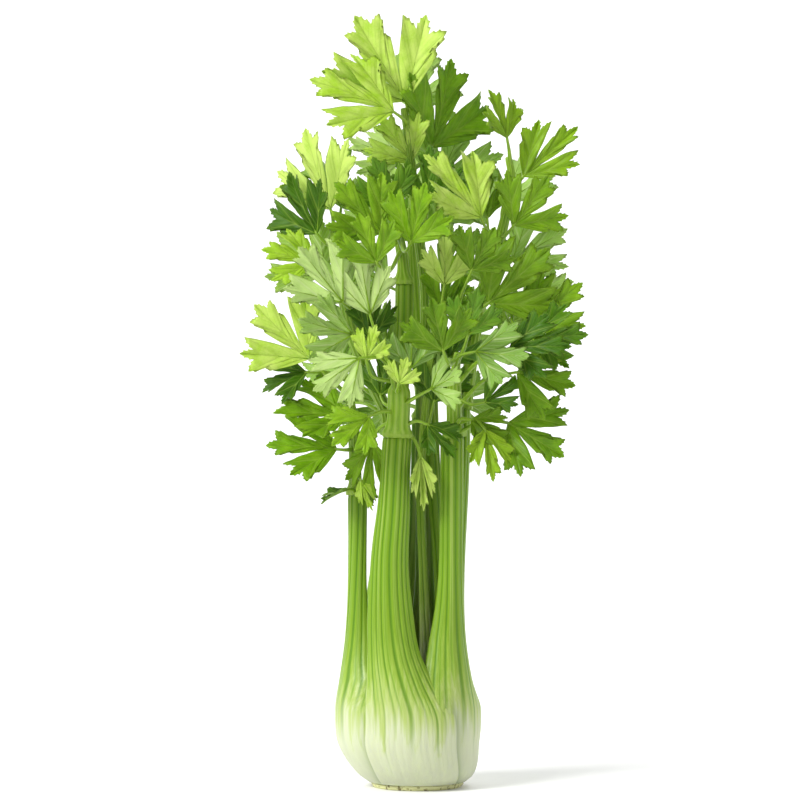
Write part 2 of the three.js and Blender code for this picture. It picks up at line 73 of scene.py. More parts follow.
# %% Name the shape of the bulb and of a stalk
BUTT_RADIUS = 27
SHEATH_FOOT_HEIGHT = 3.4
BULB_AXIS_SHIFT = -5.5
BULB_TOP = 46
BULB_BEND_RADIUS = 45
BULB_RADIUS = [
    (0, 27.5), (3.4, 31), (7, 35), (12, 38.6), (20, 42), (32, 44.6), (46, 45), (67, 42.6),
    (91, 39.5), (130, 37), (170, 36), (320, 36),
]
WIDTH_SHARE = [
    (0, 0.72), (12, 0.88), (30, 1), (46, 0.95), (65, 0.68), (85, 0.42), (110, 0.21), (140, 0.1),
    (180, 0.03), (230, 0), (320, 0),
]
CURVE_SHARE = [(0, 1), (46, 1), (67, 0.78), (91, 0.5), (130, 0.08), (170, 0), (320, 0)]
WING_SHARE = [(80, 0), (120, 1), (145, 1), (195, 0)]
BOW_SHARE = [
    (34, 0), (46, 0.06), (62, 0.5), (80, 0.88), (100, 1), (135, 0.84), (171, 0.35), (200, 0.09), (215, 0),
]
DEPTH_SHARE = [(0, 0.55), (15, 0.85), (35, 1.1), (80, 1.15), (140, 1), (320, 1)]
RIB_SHARE = [(0, 0.3), (30, 0.6), (80, 1), (320, 1)]
RIB_HEIGHT = 0.45
FREE_ARC = math.radians(80)
MOST_DEPTH = 0.78
GAP = 0.35


def mix(a, b, share):
    return a + (b - a) * share


def ease(x):
    t = np.clip(x, 0, 1)
    return t * t * (3 - 2 * t)


def smooth_line(points, x):
    last = len(points) - 1
    if x <= points[0][0]:
        return points[0][1]
    if x >= points[last][0]:
        return points[last][1]
    i = next(k for k, point in enumerate(points) if point[0] > x) - 1
    slopes = [(b[1] - a[1]) / (b[0] - a[0]) for a, b in zip(points, points[1:])]

    def slope_at(j):
        if j in (0, last) or slopes[j - 1] * slopes[j] <= 0:
            return 0
        return (slopes[j - 1] + slopes[j]) / 2

    step = points[i + 1][0] - points[i][0]
    t = (x - points[i][0]) / step
    rise = (1 - t) ** 2 * t * slope_at(i) * step - (1 - t) * t * t * slope_at(i + 1) * step
    return mix(points[i][1], points[i + 1][1], ease(t)) + rise


def chance(seed):
    value = math.sin(seed * 12.9898) * 43758.5453
    return value - math.floor(value)


print("bulb is", round(2 * smooth_line(BULB_RADIUS, 40)), "mm wide at 40 mm")

# %% [markdown]
# Each stalk has its own place round the bulb, its own foot and its own joint, where its leafy frond starts.
# Older stalks lie outside, so they are listed first. side and face are directions in degrees round the head,
# seen from above, and -90 is the front. reach says how far out a stalk lies, as a share of the bulb, and wrap
# how many millimetres its foot goes round each way. The front stalk leans out sideways on its way up, which
# its bow says in millimetres, and it stays flatter there than the others, which its wing says. Its leafstalk
# is thicker than the others and stays so for longer, which stem and thick say.

# %% List the stalks
STALK_VALUES = ("side", "face", "reach", "wrap", "joint", "width", "depth", "ribs")
STALK_ROWS = {
    "front": (-87, -95, 1, 30, (-12, -32, 211), 18, 6.6, 8),
    "right": (-36, -58, 0.985, 38, (22.5, -20, 211), 16.5, 6.3, 7),
    "left": (-172, -120, 0.975, 40, (-37, -10, 176), 13, 5.6, 6),
    "right_back": (30, 25, 0.965, 37, (29, 10, 228), 15, 6.2, 7),
    "left_back": (142, 140, 0.965, 36, (-16, 22, 220), 15, 6.2, 7),
    "back": (82, 86, 0.955, 37, (5, 32, 222), 16, 6.2, 7),
    "inner_left": (-150, -110, 0.74, 29, (-8, -14, 303), 12, 6, 5),
    "inner_right": (-12, -60, 0.73, 29, (8, 2, 258), 11, 5.5, 5),
    "inner_back": (62, 80, 0.72, 29, (5, 12, 264), 11.5, 5.5, 5),
    "heart_left": (165, 165, 0.48, 17, (-10, 4, 205), 8.5, 4.6, 4),
    "heart_right": (-25, -25, 0.45, 16, (2, -6, 192), 8, 4.4, 4),
}
STALKS = {name: dict(zip(STALK_VALUES, row)) for name, row in STALK_ROWS.items()}
STALKS["front"].update(bow=-10, wing=0.35, stem=0.37, thick=0.72)
print(len(STALKS), "stalks")

# %% [markdown]
# Blender makes a mesh from points and faces. One helper turns arrays in millimetres into a smooth-shaded
# object in metres, with a map for the patterns and a few numbers stored on its points for the materials.
# A second helper says which solid of the fixed model the new piece stands for.

# %% Make a mesh from arrays
def piece_from(name, points, faces, maps=None, stored=None, materials=(), material_of_face=None):
    mesh = bpy.data.meshes.new(name)
    mesh.from_pydata((np.asarray(points) * MM).tolist(), [], [list(map(int, f)) for f in faces])
    mesh.polygons.foreach_set("use_smooth", [True] * len(mesh.polygons))
    if maps is not None:
        layer = mesh.uv_layers.new(name="pattern")
        layer.data.foreach_set("uv", np.asarray(maps, dtype=np.float32).ravel())
    for key, values in (stored or {}).items():
        attribute = mesh.attributes.new(key, "FLOAT", "POINT")
        attribute.data.foreach_set("value", np.asarray(values, dtype=np.float32))
    for material in materials:
        mesh.materials.append(material)
    if material_of_face is not None:
        mesh.polygons.foreach_set("material_index", np.asarray(material_of_face, dtype=np.int32))
    mesh.update()
    piece = bpy.data.objects.new(name, mesh)
    bpy.context.collection.objects.link(piece)
    return piece


def stand_for(piece, node):
    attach(piece, "root")
    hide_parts(node)
    print(piece.name, len(piece.data.polygons), "faces")


print("every new piece rides on the body root and stands for one solid")

# %% [markdown]
# Materials are small networks of nodes. These helpers keep each later recipe short: one adds a node and
# links its inputs, one makes a row of colours along a value, and one turns ordinary picture colours into the
# linear ones that light is reckoned in. It also makes them darker by as much as the lamps brighten them.

# %% Helpers for materials
LIGHT_ON_THE_LEAVES = 1.05
LIGHT_ON_THE_STALKS = 1.42


def paint(red, green, blue, light=LIGHT_ON_THE_LEAVES):
    def linear(c):
        c = c / 255
        return (c / 12.92 if c <= 0.04045 else ((c + 0.055) / 1.055) ** 2.4) / light

    return (linear(red), linear(green), linear(blue), 1)


def stalk_paint(red, green, blue):
    return paint(red, green, blue, LIGHT_ON_THE_STALKS)


class Recipe:
    def __init__(self, name):
        self.material = bpy.data.materials.new(name)
        self.material.use_nodes = True
        self.tree = self.material.node_tree
        self.surface = self.tree.nodes["Principled BSDF"]
        self.output = self.tree.nodes["Material Output"]

    def put(self, socket, value):
        if isinstance(value, bpy.types.NodeSocket):
            self.tree.links.new(value, socket)
        else:
            socket.default_value = value

    def node(self, kind, inputs, **settings):
        made = self.tree.nodes.new(kind)
        for key, value in settings.items():
            setattr(made, key, value)
        for key, value in inputs.items():
            self.put(made.inputs[key], value)
        return made

    def math(self, operation, a, b=0.0, clamp=False):
        return self.node("ShaderNodeMath", {0: a, 1: b}, operation=operation, use_clamp=clamp).outputs[0]

    def times(self, a, b):
        return self.math("MULTIPLY", a, b)

    def vary(self, value, noise, amount):
        around_zero = self.math("SUBTRACT", noise, 0.5)
        return self.math("ADD", value, self.times(around_zero, amount), clamp=True)

    def span(self, value, low, high, to_low=0.0, to_high=1.0):
        inputs = dict(enumerate((value, low, high, to_low, to_high)))
        return self.node("ShaderNodeMapRange", inputs, interpolation_type="SMOOTHSTEP").outputs[0]

    def blend(self, share, a, b):
        made = self.node("ShaderNodeMix", {}, data_type="RGBA", clamp_factor=True)
        sockets = {socket.identifier: socket for socket in made.inputs}
        for key, value in (("Factor_Float", share), ("A_Color", a), ("B_Color", b)):
            self.put(sockets[key], value)
        return next(socket for socket in made.outputs if socket.identifier == "Result_Color")

    def lay(self, colour, other, where, most):
        """Lay another colour over this one where a pattern says, at most this strongly."""
        return self.blend(self.times(where, most), colour, other)

    def row_of_colours(self, value, stops):
        made = self.node("ShaderNodeValToRGB", {"Fac": value})
        ramp = made.color_ramp
        while len(ramp.elements) < len(stops):
            ramp.elements.new(0.5)
        for element, (place, colour) in zip(ramp.elements, stops):
            element.position = place
        for element, (place, colour) in zip(ramp.elements, stops):
            element.color = colour
        return made.outputs["Color"]

    def stored(self, key):
        return self.node("ShaderNodeAttribute", {}, attribute_name=key).outputs["Fac"]

    def pattern(self):
        return self.node("ShaderNodeUVMap", {}, uv_map="pattern").outputs["UV"]

    def place(self):
        return self.node("ShaderNodeTexCoord", {}).outputs["Object"]

    def parts(self, vector):
        return self.node("ShaderNodeSeparateXYZ", {0: vector}).outputs[:2]

    def noise(self, scale, stretch=(1, 1, 1), detail=3.0, roughness=0.5, place=None):
        inputs = {"Vector": self.place() if place is None else place, "Scale": stretch}
        moved = self.node("ShaderNodeMapping", inputs).outputs["Vector"]
        inputs = {"Vector": moved, "Scale": scale, "Detail": detail, "Roughness": roughness}
        return self.node("ShaderNodeTexNoise", inputs).outputs["Fac"]

    def bump(self, height, depth, strength):
        made = self.node("ShaderNodeBump", {"Strength": strength, "Distance": depth, "Height": height})
        self.put(self.surface.inputs["Normal"], made.outputs["Normal"])

    def set(self, **values):
        for key, value in values.items():
            self.put(self.surface.inputs[key.replace("_", " ")], value)


print("light the paint allows for:", LIGHT_ON_THE_LEAVES, "on leaves,", LIGHT_ON_THE_STALKS, "on stalks")

# %% [markdown]
# A real stalk is white where the soil and the other stalks kept light off it, then yellow-green, then green.
# Its ridges are long strings of tough fibre, lighter than the grooves between them, and the green of the
# grooves runs further down than that of the ridges, each to its own depth. The skin is waxy and lets some
# light in. The map that each stalk carries counts ridges across it, so the lines in the colour sit exactly
# on the relief.

# %% Paint the stalks
STALK_COLOURS = [
    (0.0, stalk_paint(222, 228, 194)),
    (0.13, stalk_paint(229, 237, 196)),
    (0.22, stalk_paint(200, 220, 128)),
    (0.32, stalk_paint(170, 203, 76)),
    (0.45, stalk_paint(142, 182, 34)),
    (0.65, stalk_paint(134, 180, 18)),
    (0.85, stalk_paint(128, 174, 12)),
    (1.0, stalk_paint(140, 180, 26)),
]
COLOUR_HEIGHT = 0.215
GREEN_GROOVE = stalk_paint(96, 150, 4)
FAINT_GROOVE = stalk_paint(116, 168, 18)
PALE_RIDGE = stalk_paint(192, 218, 106)
DEEP_SHADE = stalk_paint(86, 124, 22)
HOLLOW_SIDE = stalk_paint(196, 214, 130)
GROOVE_REACH = (0.08, 0.36)
SECOND_GROOVE_REACH = (0.2, 0.3, 0.6, 0.85)
HEART_LIFT = 0.22


def paint_stalk(name, lift):
    recipe = Recipe(name)
    uv = recipe.pattern()
    around, height = recipe.parts(uv)
    turn = recipe.times(around, 2 * math.pi)
    wave = recipe.math("COSINE", turn)
    second = recipe.math("COSINE", recipe.math("ADD", turn, math.pi))
    third = recipe.math("COSINE", recipe.times(turn, 3.0))
    wobble = recipe.noise(60, (1, 1, 0.12), 2.0)
    streak = recipe.noise(420, (1, 1, 0.035), 3.0, 0.6)
    strings = recipe.noise(1.0, (0.9, 9.0, 1), 2.0, place=uv)
    level = recipe.math("DIVIDE", height, COLOUR_HEIGHT)
    level = recipe.vary(recipe.math("SUBTRACT", level, lift), wobble, 0.2)
    groove_level = recipe.vary(level, strings, 0.7)
    level = recipe.vary(recipe.vary(level, strings, 0.3), streak, 0.28)
    colour = recipe.row_of_colours(level, STALK_COLOURS)

    groove = recipe.times(recipe.span(wave, 0.55, 1.0), recipe.span(groove_level, *GROOVE_REACH))
    low, full, fading, gone = SECOND_GROOVE_REACH
    above = recipe.span(level, fading, gone, 1.0, 0.25)
    second_reach = recipe.times(recipe.span(groove_level, low, full), above)
    second_groove = recipe.times(recipe.span(second, 0.8, 1.0), second_reach)
    hairline = recipe.times(recipe.span(third, 0.8, 1.0), recipe.span(level, 0.15, 0.4))
    ridge = recipe.times(recipe.span(wave, -0.9, 0.1, 1.0, 0.0), recipe.span(level, 0.3, 0.6))
    bands = recipe.span(recipe.noise(1.0, (0.6, 1.5, 1), 2.0, place=uv), 0.4, 0.62, 0.3, 1.0)
    colour = recipe.lay(colour, PALE_RIDGE, recipe.times(ridge, bands), 0.7)
    colour = recipe.lay(colour, FAINT_GROOVE, hairline, 0.22)
    colour = recipe.lay(colour, FAINT_GROOVE, second_groove, 0.55)
    colour = recipe.lay(colour, GREEN_GROOVE, groove, 0.8)
    # Painted shade: the stored shade darkens the skin towards DEEP_SHADE.
    colour = recipe.blend(recipe.stored("shade"), colour, DEEP_SHADE)
    colour = recipe.lay(colour, HOLLOW_SIDE, recipe.stored("inside"), 0.3)
    pits = recipe.noise(1500, (1, 1, 0.2), 2.0)
    relief = recipe.math("ADD", streak, recipe.times(pits, 0.4))
    relief = recipe.math("SUBTRACT", relief, recipe.times(hairline, 0.35))
    recipe.bump(relief, 0.0003, 0.8)
    recipe.set(
        Base_Color=colour, Roughness=recipe.span(streak, 0.2, 0.8, 0.34, 0.5), Specular_IOR_Level=0.3,
        Coat_Weight=0.05, Coat_Roughness=0.2, Subsurface_Weight=0.2, Subsurface_Radius=(0.8, 1.0, 0.2),
        Subsurface_Scale=0.003,
    )
    return recipe.material


stalk_skin = paint_stalk("stalk_skin", 0.0)
heart_skin = paint_stalk("heart_skin", HEART_LIFT)
print("stalks are green from", round(COLOUR_HEIGHT * STALK_COLOURS[4][0] / MM), "mm up")

# %% [markdown]
# A stalk is a crescent that changes as it climbs: a wide thin sheath that wraps the bulb at the foot, and
# a deep narrow trough above. So it is drawn as many level rings joined into a skin. Each ring has an outer
# arc with ridges, a rounded edge, and a hollow inner side. The ridges are broad and round, and the grooves
# between them are narrow, as they are on the real thing.

# %% Draw one level ring of a stalk
POINTS_PER_RIB = 12
RIB_UNEVENNESS = 0.045
RIB_HEIGHT_SHARES = (0.75, 1.2)
RIDGE_SWELL = 2.4
RIDGE_SINK = 1.4
RIDGE_POWER = 0.9
SWAYS = [(0.075, 0.05, 3.1, 0), (0.06, 0.021, 7, 1)]
FINE_GROOVE = 0.28
FINE_GROOVE_WIDTH = 0.09
FINE_GROOVE_SHARE = [(0, 0), (25, 0.7), (45, 1), (80, 1), (120, 0.3), (160, 0)]
SHOULDER_DROP = 0.5
SHOULDER_START = 0.93
EDGE_POINTS = 4
INNER_POINTS = 26
AXIS_LEAN_TOP = 30
EDGE_SHARES = (0.16, 0.24)
LEAST_EDGE = 0.6
WIDEST_OPENING = 1.5
FOOT_ROUNDING = (0.55, 1.6)
TOP_ROUNDING = (0.25, 1.2)
ROUNDING_DEPTH = 1.1
HOLLOW_POWER = 2.2
EDGE_PUSH = 0.32
EDGE_PALENESS = 0.4


def stalk_ring(stalk, z, foot, top):
    joint_x, joint_y, joint_z = stalk["joint"]
    rise = ease((z - BULB_TOP) / (joint_z - BULB_TOP))
    facing = math.radians(mix(stalk["side"], stalk["face"], rise))
    side = math.radians(stalk["side"])
    axis_x = BULB_AXIS_SHIFT * ease(z / AXIS_LEAN_TOP)
    bulb = smooth_line(BULB_RADIUS, z) * stalk["reach"]
    depth = stalk["depth"]
    outer_x = mix(axis_x + bulb * math.cos(side), joint_x + depth / 2 * math.cos(facing), rise)
    outer_y = mix(bulb * math.sin(side), joint_y + depth / 2 * math.sin(facing), rise)
    bow = stalk.get("bow", 0) * smooth_line(BOW_SHARE, z)
    outer_x -= bow * math.sin(side)
    outer_y += bow * math.cos(side)
    free_radius = stalk["width"] / 2 / math.sin(FREE_ARC)
    flat = smooth_line(CURVE_SHARE, z) + stalk.get("wing", 0) * smooth_line(WING_SHARE, z)
    bulb_bend = smooth_line(BULB_RADIUS, z) if z < BULB_TOP else BULB_BEND_RADIUS
    bend = mix(1 / free_radius, 1 / (bulb_bend * stalk["reach"]), flat)
    half_arc = mix(free_radius * FREE_ARC, stalk["wrap"], smooth_line(WIDTH_SHARE, z))
    radius = 1 / bend
    open_angle = min(half_arc * bend, WIDEST_OPENING)
    centre = (outer_x - radius * math.cos(facing), outer_y - radius * math.sin(facing))
    middle = depth * smooth_line(DEPTH_SHARE, z)
    edge = mix(*EDGE_SHARES, ease((z - BULB_TOP) / BULB_TOP)) * middle + LEAST_EDGE
    rib = RIB_HEIGHT / 2 * smooth_line(RIB_SHARE, z)
    ends = 0
    for (most, spread), away in ((FOOT_ROUNDING, z - foot), (TOP_ROUNDING, top - z)):
        ends += ROUNDING_DEPTH * most * math.exp(-(away / spread) ** 2)

    count = stalk["ribs"] * POINTS_PER_RIB + 1
    u_out = np.linspace(-1, 1, count)
    across = (u_out + 1) / 2
    phase = math.radians(stalk["side"])
    uneven = RIB_UNEVENNESS * np.sin(math.pi * across) * np.sin(3 * math.pi * across + phase)
    ridge_count = (across + uneven) * stalk["ribs"]
    seeds = np.floor(ridge_count) + stalk["side"]
    height_share = np.array([mix(*RIB_HEIGHT_SHARES, chance(seed)) for seed in seeds])
    ridges = RIDGE_SWELL * height_share * np.abs(np.sin(math.pi * ridge_count)) ** RIDGE_POWER - RIDGE_SINK
    relief = rib * ridges
    for size, upward, sideways, shift in SWAYS:
        relief += size * np.sin(upward * z + sideways * u_out + shift * stalk["side"])
    off_middle = np.abs(ridge_count - np.floor(ridge_count) - 0.5)
    fine_groove = FINE_GROOVE * smooth_line(FINE_GROOVE_SHARE, z)
    relief -= fine_groove * np.exp(-(off_middle / FINE_GROOVE_WIDTH) ** 2)
    shoulder_share = np.clip((np.abs(u_out) - SHOULDER_START) / (1 - SHOULDER_START), 0, 1)
    shoulder = SHOULDER_DROP * shoulder_share ** 2
    out_radius = radius + relief - shoulder - ends
    u_in = np.linspace(1, -1, INNER_POINTS)
    thick = np.minimum(edge + (middle - edge) * (1 - np.abs(u_in) ** HOLLOW_POWER), MOST_DEPTH * radius)
    in_radius = radius - thick + ends

    def rounded(u, from_radius, to_radius):
        turn = np.linspace(0, math.pi, EDGE_POINTS + 2)[1:-1]
        mid = (from_radius + to_radius) / 2
        half = (from_radius - to_radius) / 2
        push = EDGE_PUSH * abs(half) / radius
        return u * np.ones(EDGE_POINTS), mid + half * np.cos(turn), push * np.sin(turn) * np.sign(u)

    right_u, right_r, right_push = rounded(1, out_radius[-1], in_radius[0])
    left_u, left_r, left_push = rounded(-1, in_radius[-1], out_radius[0])
    u = np.concatenate([u_out, right_u, u_in, left_u])
    r = np.concatenate([out_radius, right_r, in_radius, left_r])
    push = np.concatenate([np.zeros(count), right_push, np.zeros(INNER_POINTS), left_push])
    angle = facing + open_angle * u + push
    x = centre[0] + r * np.cos(angle)
    y = centre[1] + r * np.sin(angle)
    points = np.stack([x, y, np.full(len(u), z)], 1)
    at_edge = np.full(EDGE_POINTS, EDGE_PALENESS)
    inside = np.concatenate([np.zeros(count), at_edge, np.ones(INNER_POINTS), at_edge])
    return points, np.interp(u, u_out, ridge_count), inside


first_ring = stalk_ring(STALKS["front"], SHEATH_FOOT_HEIGHT, SHEATH_FOOT_HEIGHT, STALKS["front"]["joint"][2])
print("one ring of the front stalk has", len(first_ring[0]), "points")

# %% [markdown]
# The rings lie close together at the foot and the joint, where the ends are rounded. Stalks that stand behind
# others get painted shade, a darker green. Painted shade also darkens the right and left sheaths along the
# crease where the front sheath laps over them.

# %% Join the rings into stalks
RING_STEP = 2.2
FOOT_RINGS = (0, 0.6, 1.5)
TOP_RINGS = (0.8, 0)
MIDDLE_START = 3
MIDDLE_END = 2
OUTER_REACH = 0.9
INNER_FOOT_HEIGHT = 7
# Painted shade: how strongly each stalk that stands behind others is darkened towards DEEP_SHADE.
SHADED_STALKS = {
    "right_back": 0.08, "left_back": 0.1, "inner_left": 0.15, "inner_right": 0.12, "inner_back": 0.35,
}
# Painted shade in the crease along the front sheath's edges, on the right and left sheaths.
SEAM_SHADE = 0.5
SEAM_REACH = 3.0


def skin_of_rings(rings):
    sides = len(rings[0])
    faces = []
    for r in range(len(rings) - 1):
        for i in range(sides):
            j = (i + 1) % sides
            faces.append((r * sides + i, r * sides + j, (r + 1) * sides + j, (r + 1) * sides + i))
    faces.append(tuple(range(sides))[::-1])
    faces.append(tuple((len(rings) - 1) * sides + i for i in range(sides)))
    return faces


def corner_values(faces, values):
    order = np.concatenate([np.asarray(face) for face in faces])
    return np.asarray(values)[order]


# Painted shade: stalks behind others get their set darkness, and the right and left sheaths are darkened near
# the front sheath's edges.
def shade_of_skin(name, points):
    shade = np.full(len(points), SHADED_STALKS.get(name, 0.0))
    if name not in ("right", "left"):
        return shade
    front = STALKS["front"]
    for z in np.unique(points[:, 2]):
        ring, _, inside = stalk_ring(front, z, SHEATH_FOOT_HEIGHT, front["joint"][2])
        outer = ring[inside == 0]
        level = points[:, 2] == z
        for edge in (outer[0], outer[-1]):
            away = np.linalg.norm(points[level] - edge, axis=1)
            shade[level] += SEAM_SHADE * np.exp(-away / SEAM_REACH)
    return shade


for name, stalk in STALKS.items():
    foot = SHEATH_FOOT_HEIGHT if stalk["reach"] > OUTER_REACH else INNER_FOOT_HEIGHT
    top = stalk["joint"][2]
    middle_heights = np.linspace(foot + MIDDLE_START, top - MIDDLE_END, round((top - foot) / RING_STEP))
    heights = [*(foot + rise for rise in FOOT_RINGS), *middle_heights, *(top - drop for drop in TOP_RINGS)]
    rings = [stalk_ring(stalk, z, foot, top) for z in heights]
    points = np.concatenate([ring[0] for ring in rings])
    faces = skin_of_rings([ring[0] for ring in rings])
    across = np.concatenate([ring[1] for ring in rings])
    maps = np.stack([corner_values(faces, across), corner_values(faces, points[:, 2] * MM)], 1)
    stored = {"shade": shade_of_skin(name, points), "inside": np.concatenate([ring[2] for ring in rings])}
    skin, slot = (heart_skin, "heart_stalk") if name.startswith("heart") else (stalk_skin, "stalk")
    stand_for(piece_from(f"{name}_stalk_skin", points, faces, maps, stored, [skin]), f"{name}_stalk")

# %% [markdown]
# The butt is the short stem that carries all the stalks. Underneath it shows the knife's cut: a pale damp
# disc with a ring of darker strings, browned at the rim where it has dried.

# %% Paint the butt
recipe = Recipe("butt_cut")
place = recipe.place()
grain = recipe.noise(520, (1, 1, 1), 4.0, 0.6)
patch = recipe.noise(90, (1, 1, 1), 3.0)
x, y = recipe.parts(place)
square = recipe.math("ADD", recipe.math("POWER", x, 2.0), recipe.math("POWER", y, 2.0))
from_axis = recipe.math("SQRT", square)
rim = recipe.span(recipe.math("ADD", from_axis, recipe.times(patch, 0.006)), 0.0245, 0.0305)
cells = recipe.node("ShaderNodeTexVoronoi", {"Vector": place, "Scale": 260}, feature="F1")
string = recipe.span(cells.outputs["Distance"], 0.28, 0.16)
string_ring = recipe.times(string, recipe.span(from_axis, 0.008, 0.018))
dots = recipe.times(recipe.span(recipe.noise(330, (1, 1, 1), 1.0), 0.58, 0.66), rim)
colour = recipe.blend(grain, paint(236, 238, 190), paint(222, 226, 160))
colour = recipe.lay(colour, stalk_paint(160, 150, 84), string_ring, 0.6)
colour = recipe.lay(colour, paint(206, 200, 120), rim, 0.2)
colour = recipe.lay(colour, stalk_paint(112, 92, 30), dots, 0.8)
recipe.set(Base_Color=colour, Roughness=recipe.span(grain, 0.2, 0.8, 0.5, 0.75))
recipe.bump(recipe.math("ADD", grain, recipe.times(string, -0.5)), 0.0004, 0.8)
butt_cut = recipe.material
print("butt painted")

# %% [markdown]
# The butt is turned like a bowl on a wheel, a little ragged at its rim, and its flat face keeps level so the
# head stands still.

# %% Turn the butt
BUTT_PROFILE = [
    (8, 0), (16, 0), (22, 0), (BUTT_RADIUS - 0.9, 0), (BUTT_RADIUS - 0.2, 0.25), (BUTT_RADIUS + 0.3, 0.9),
    (BUTT_RADIUS + 1, 1.8), (BUTT_RADIUS + 1.2, 2.5), (BUTT_RADIUS + 0.4, SHEATH_FOOT_HEIGHT), (22, 7),
    (13, 20), (5, 28),
]
BUTT_SIDES = 96
RAGGED_FROM, RAGGED_OVER = 20, 8
RAGGED_HEIGHT = 1.5
RAGGED_WAVES = [(0.35, 5, 1), (0.25, 13, 2)]
RAGGED_DRAW_IN = 0.3
turns = np.linspace(0, 2 * math.pi, BUTT_SIDES, endpoint=False)
rings = []
for reach, z in BUTT_PROFILE:
    above_cut = ease(z / RAGGED_HEIGHT)
    ragged = sum(size * np.sin(waves * turns + shift * z) for size, waves, shift in RAGGED_WAVES)
    ragged_share = ease((reach - RAGGED_FROM) / RAGGED_OVER)
    radius = reach + above_cut * (ragged * ragged_share - RAGGED_DRAW_IN)
    level = np.full(BUTT_SIDES, float(z))
    rings.append(np.stack([radius * np.cos(turns), radius * np.sin(turns), level], 1))
butt = piece_from("butt_face", np.concatenate(rings), skin_of_rings(rings), materials=[butt_cut])
stand_for(butt, "butt")
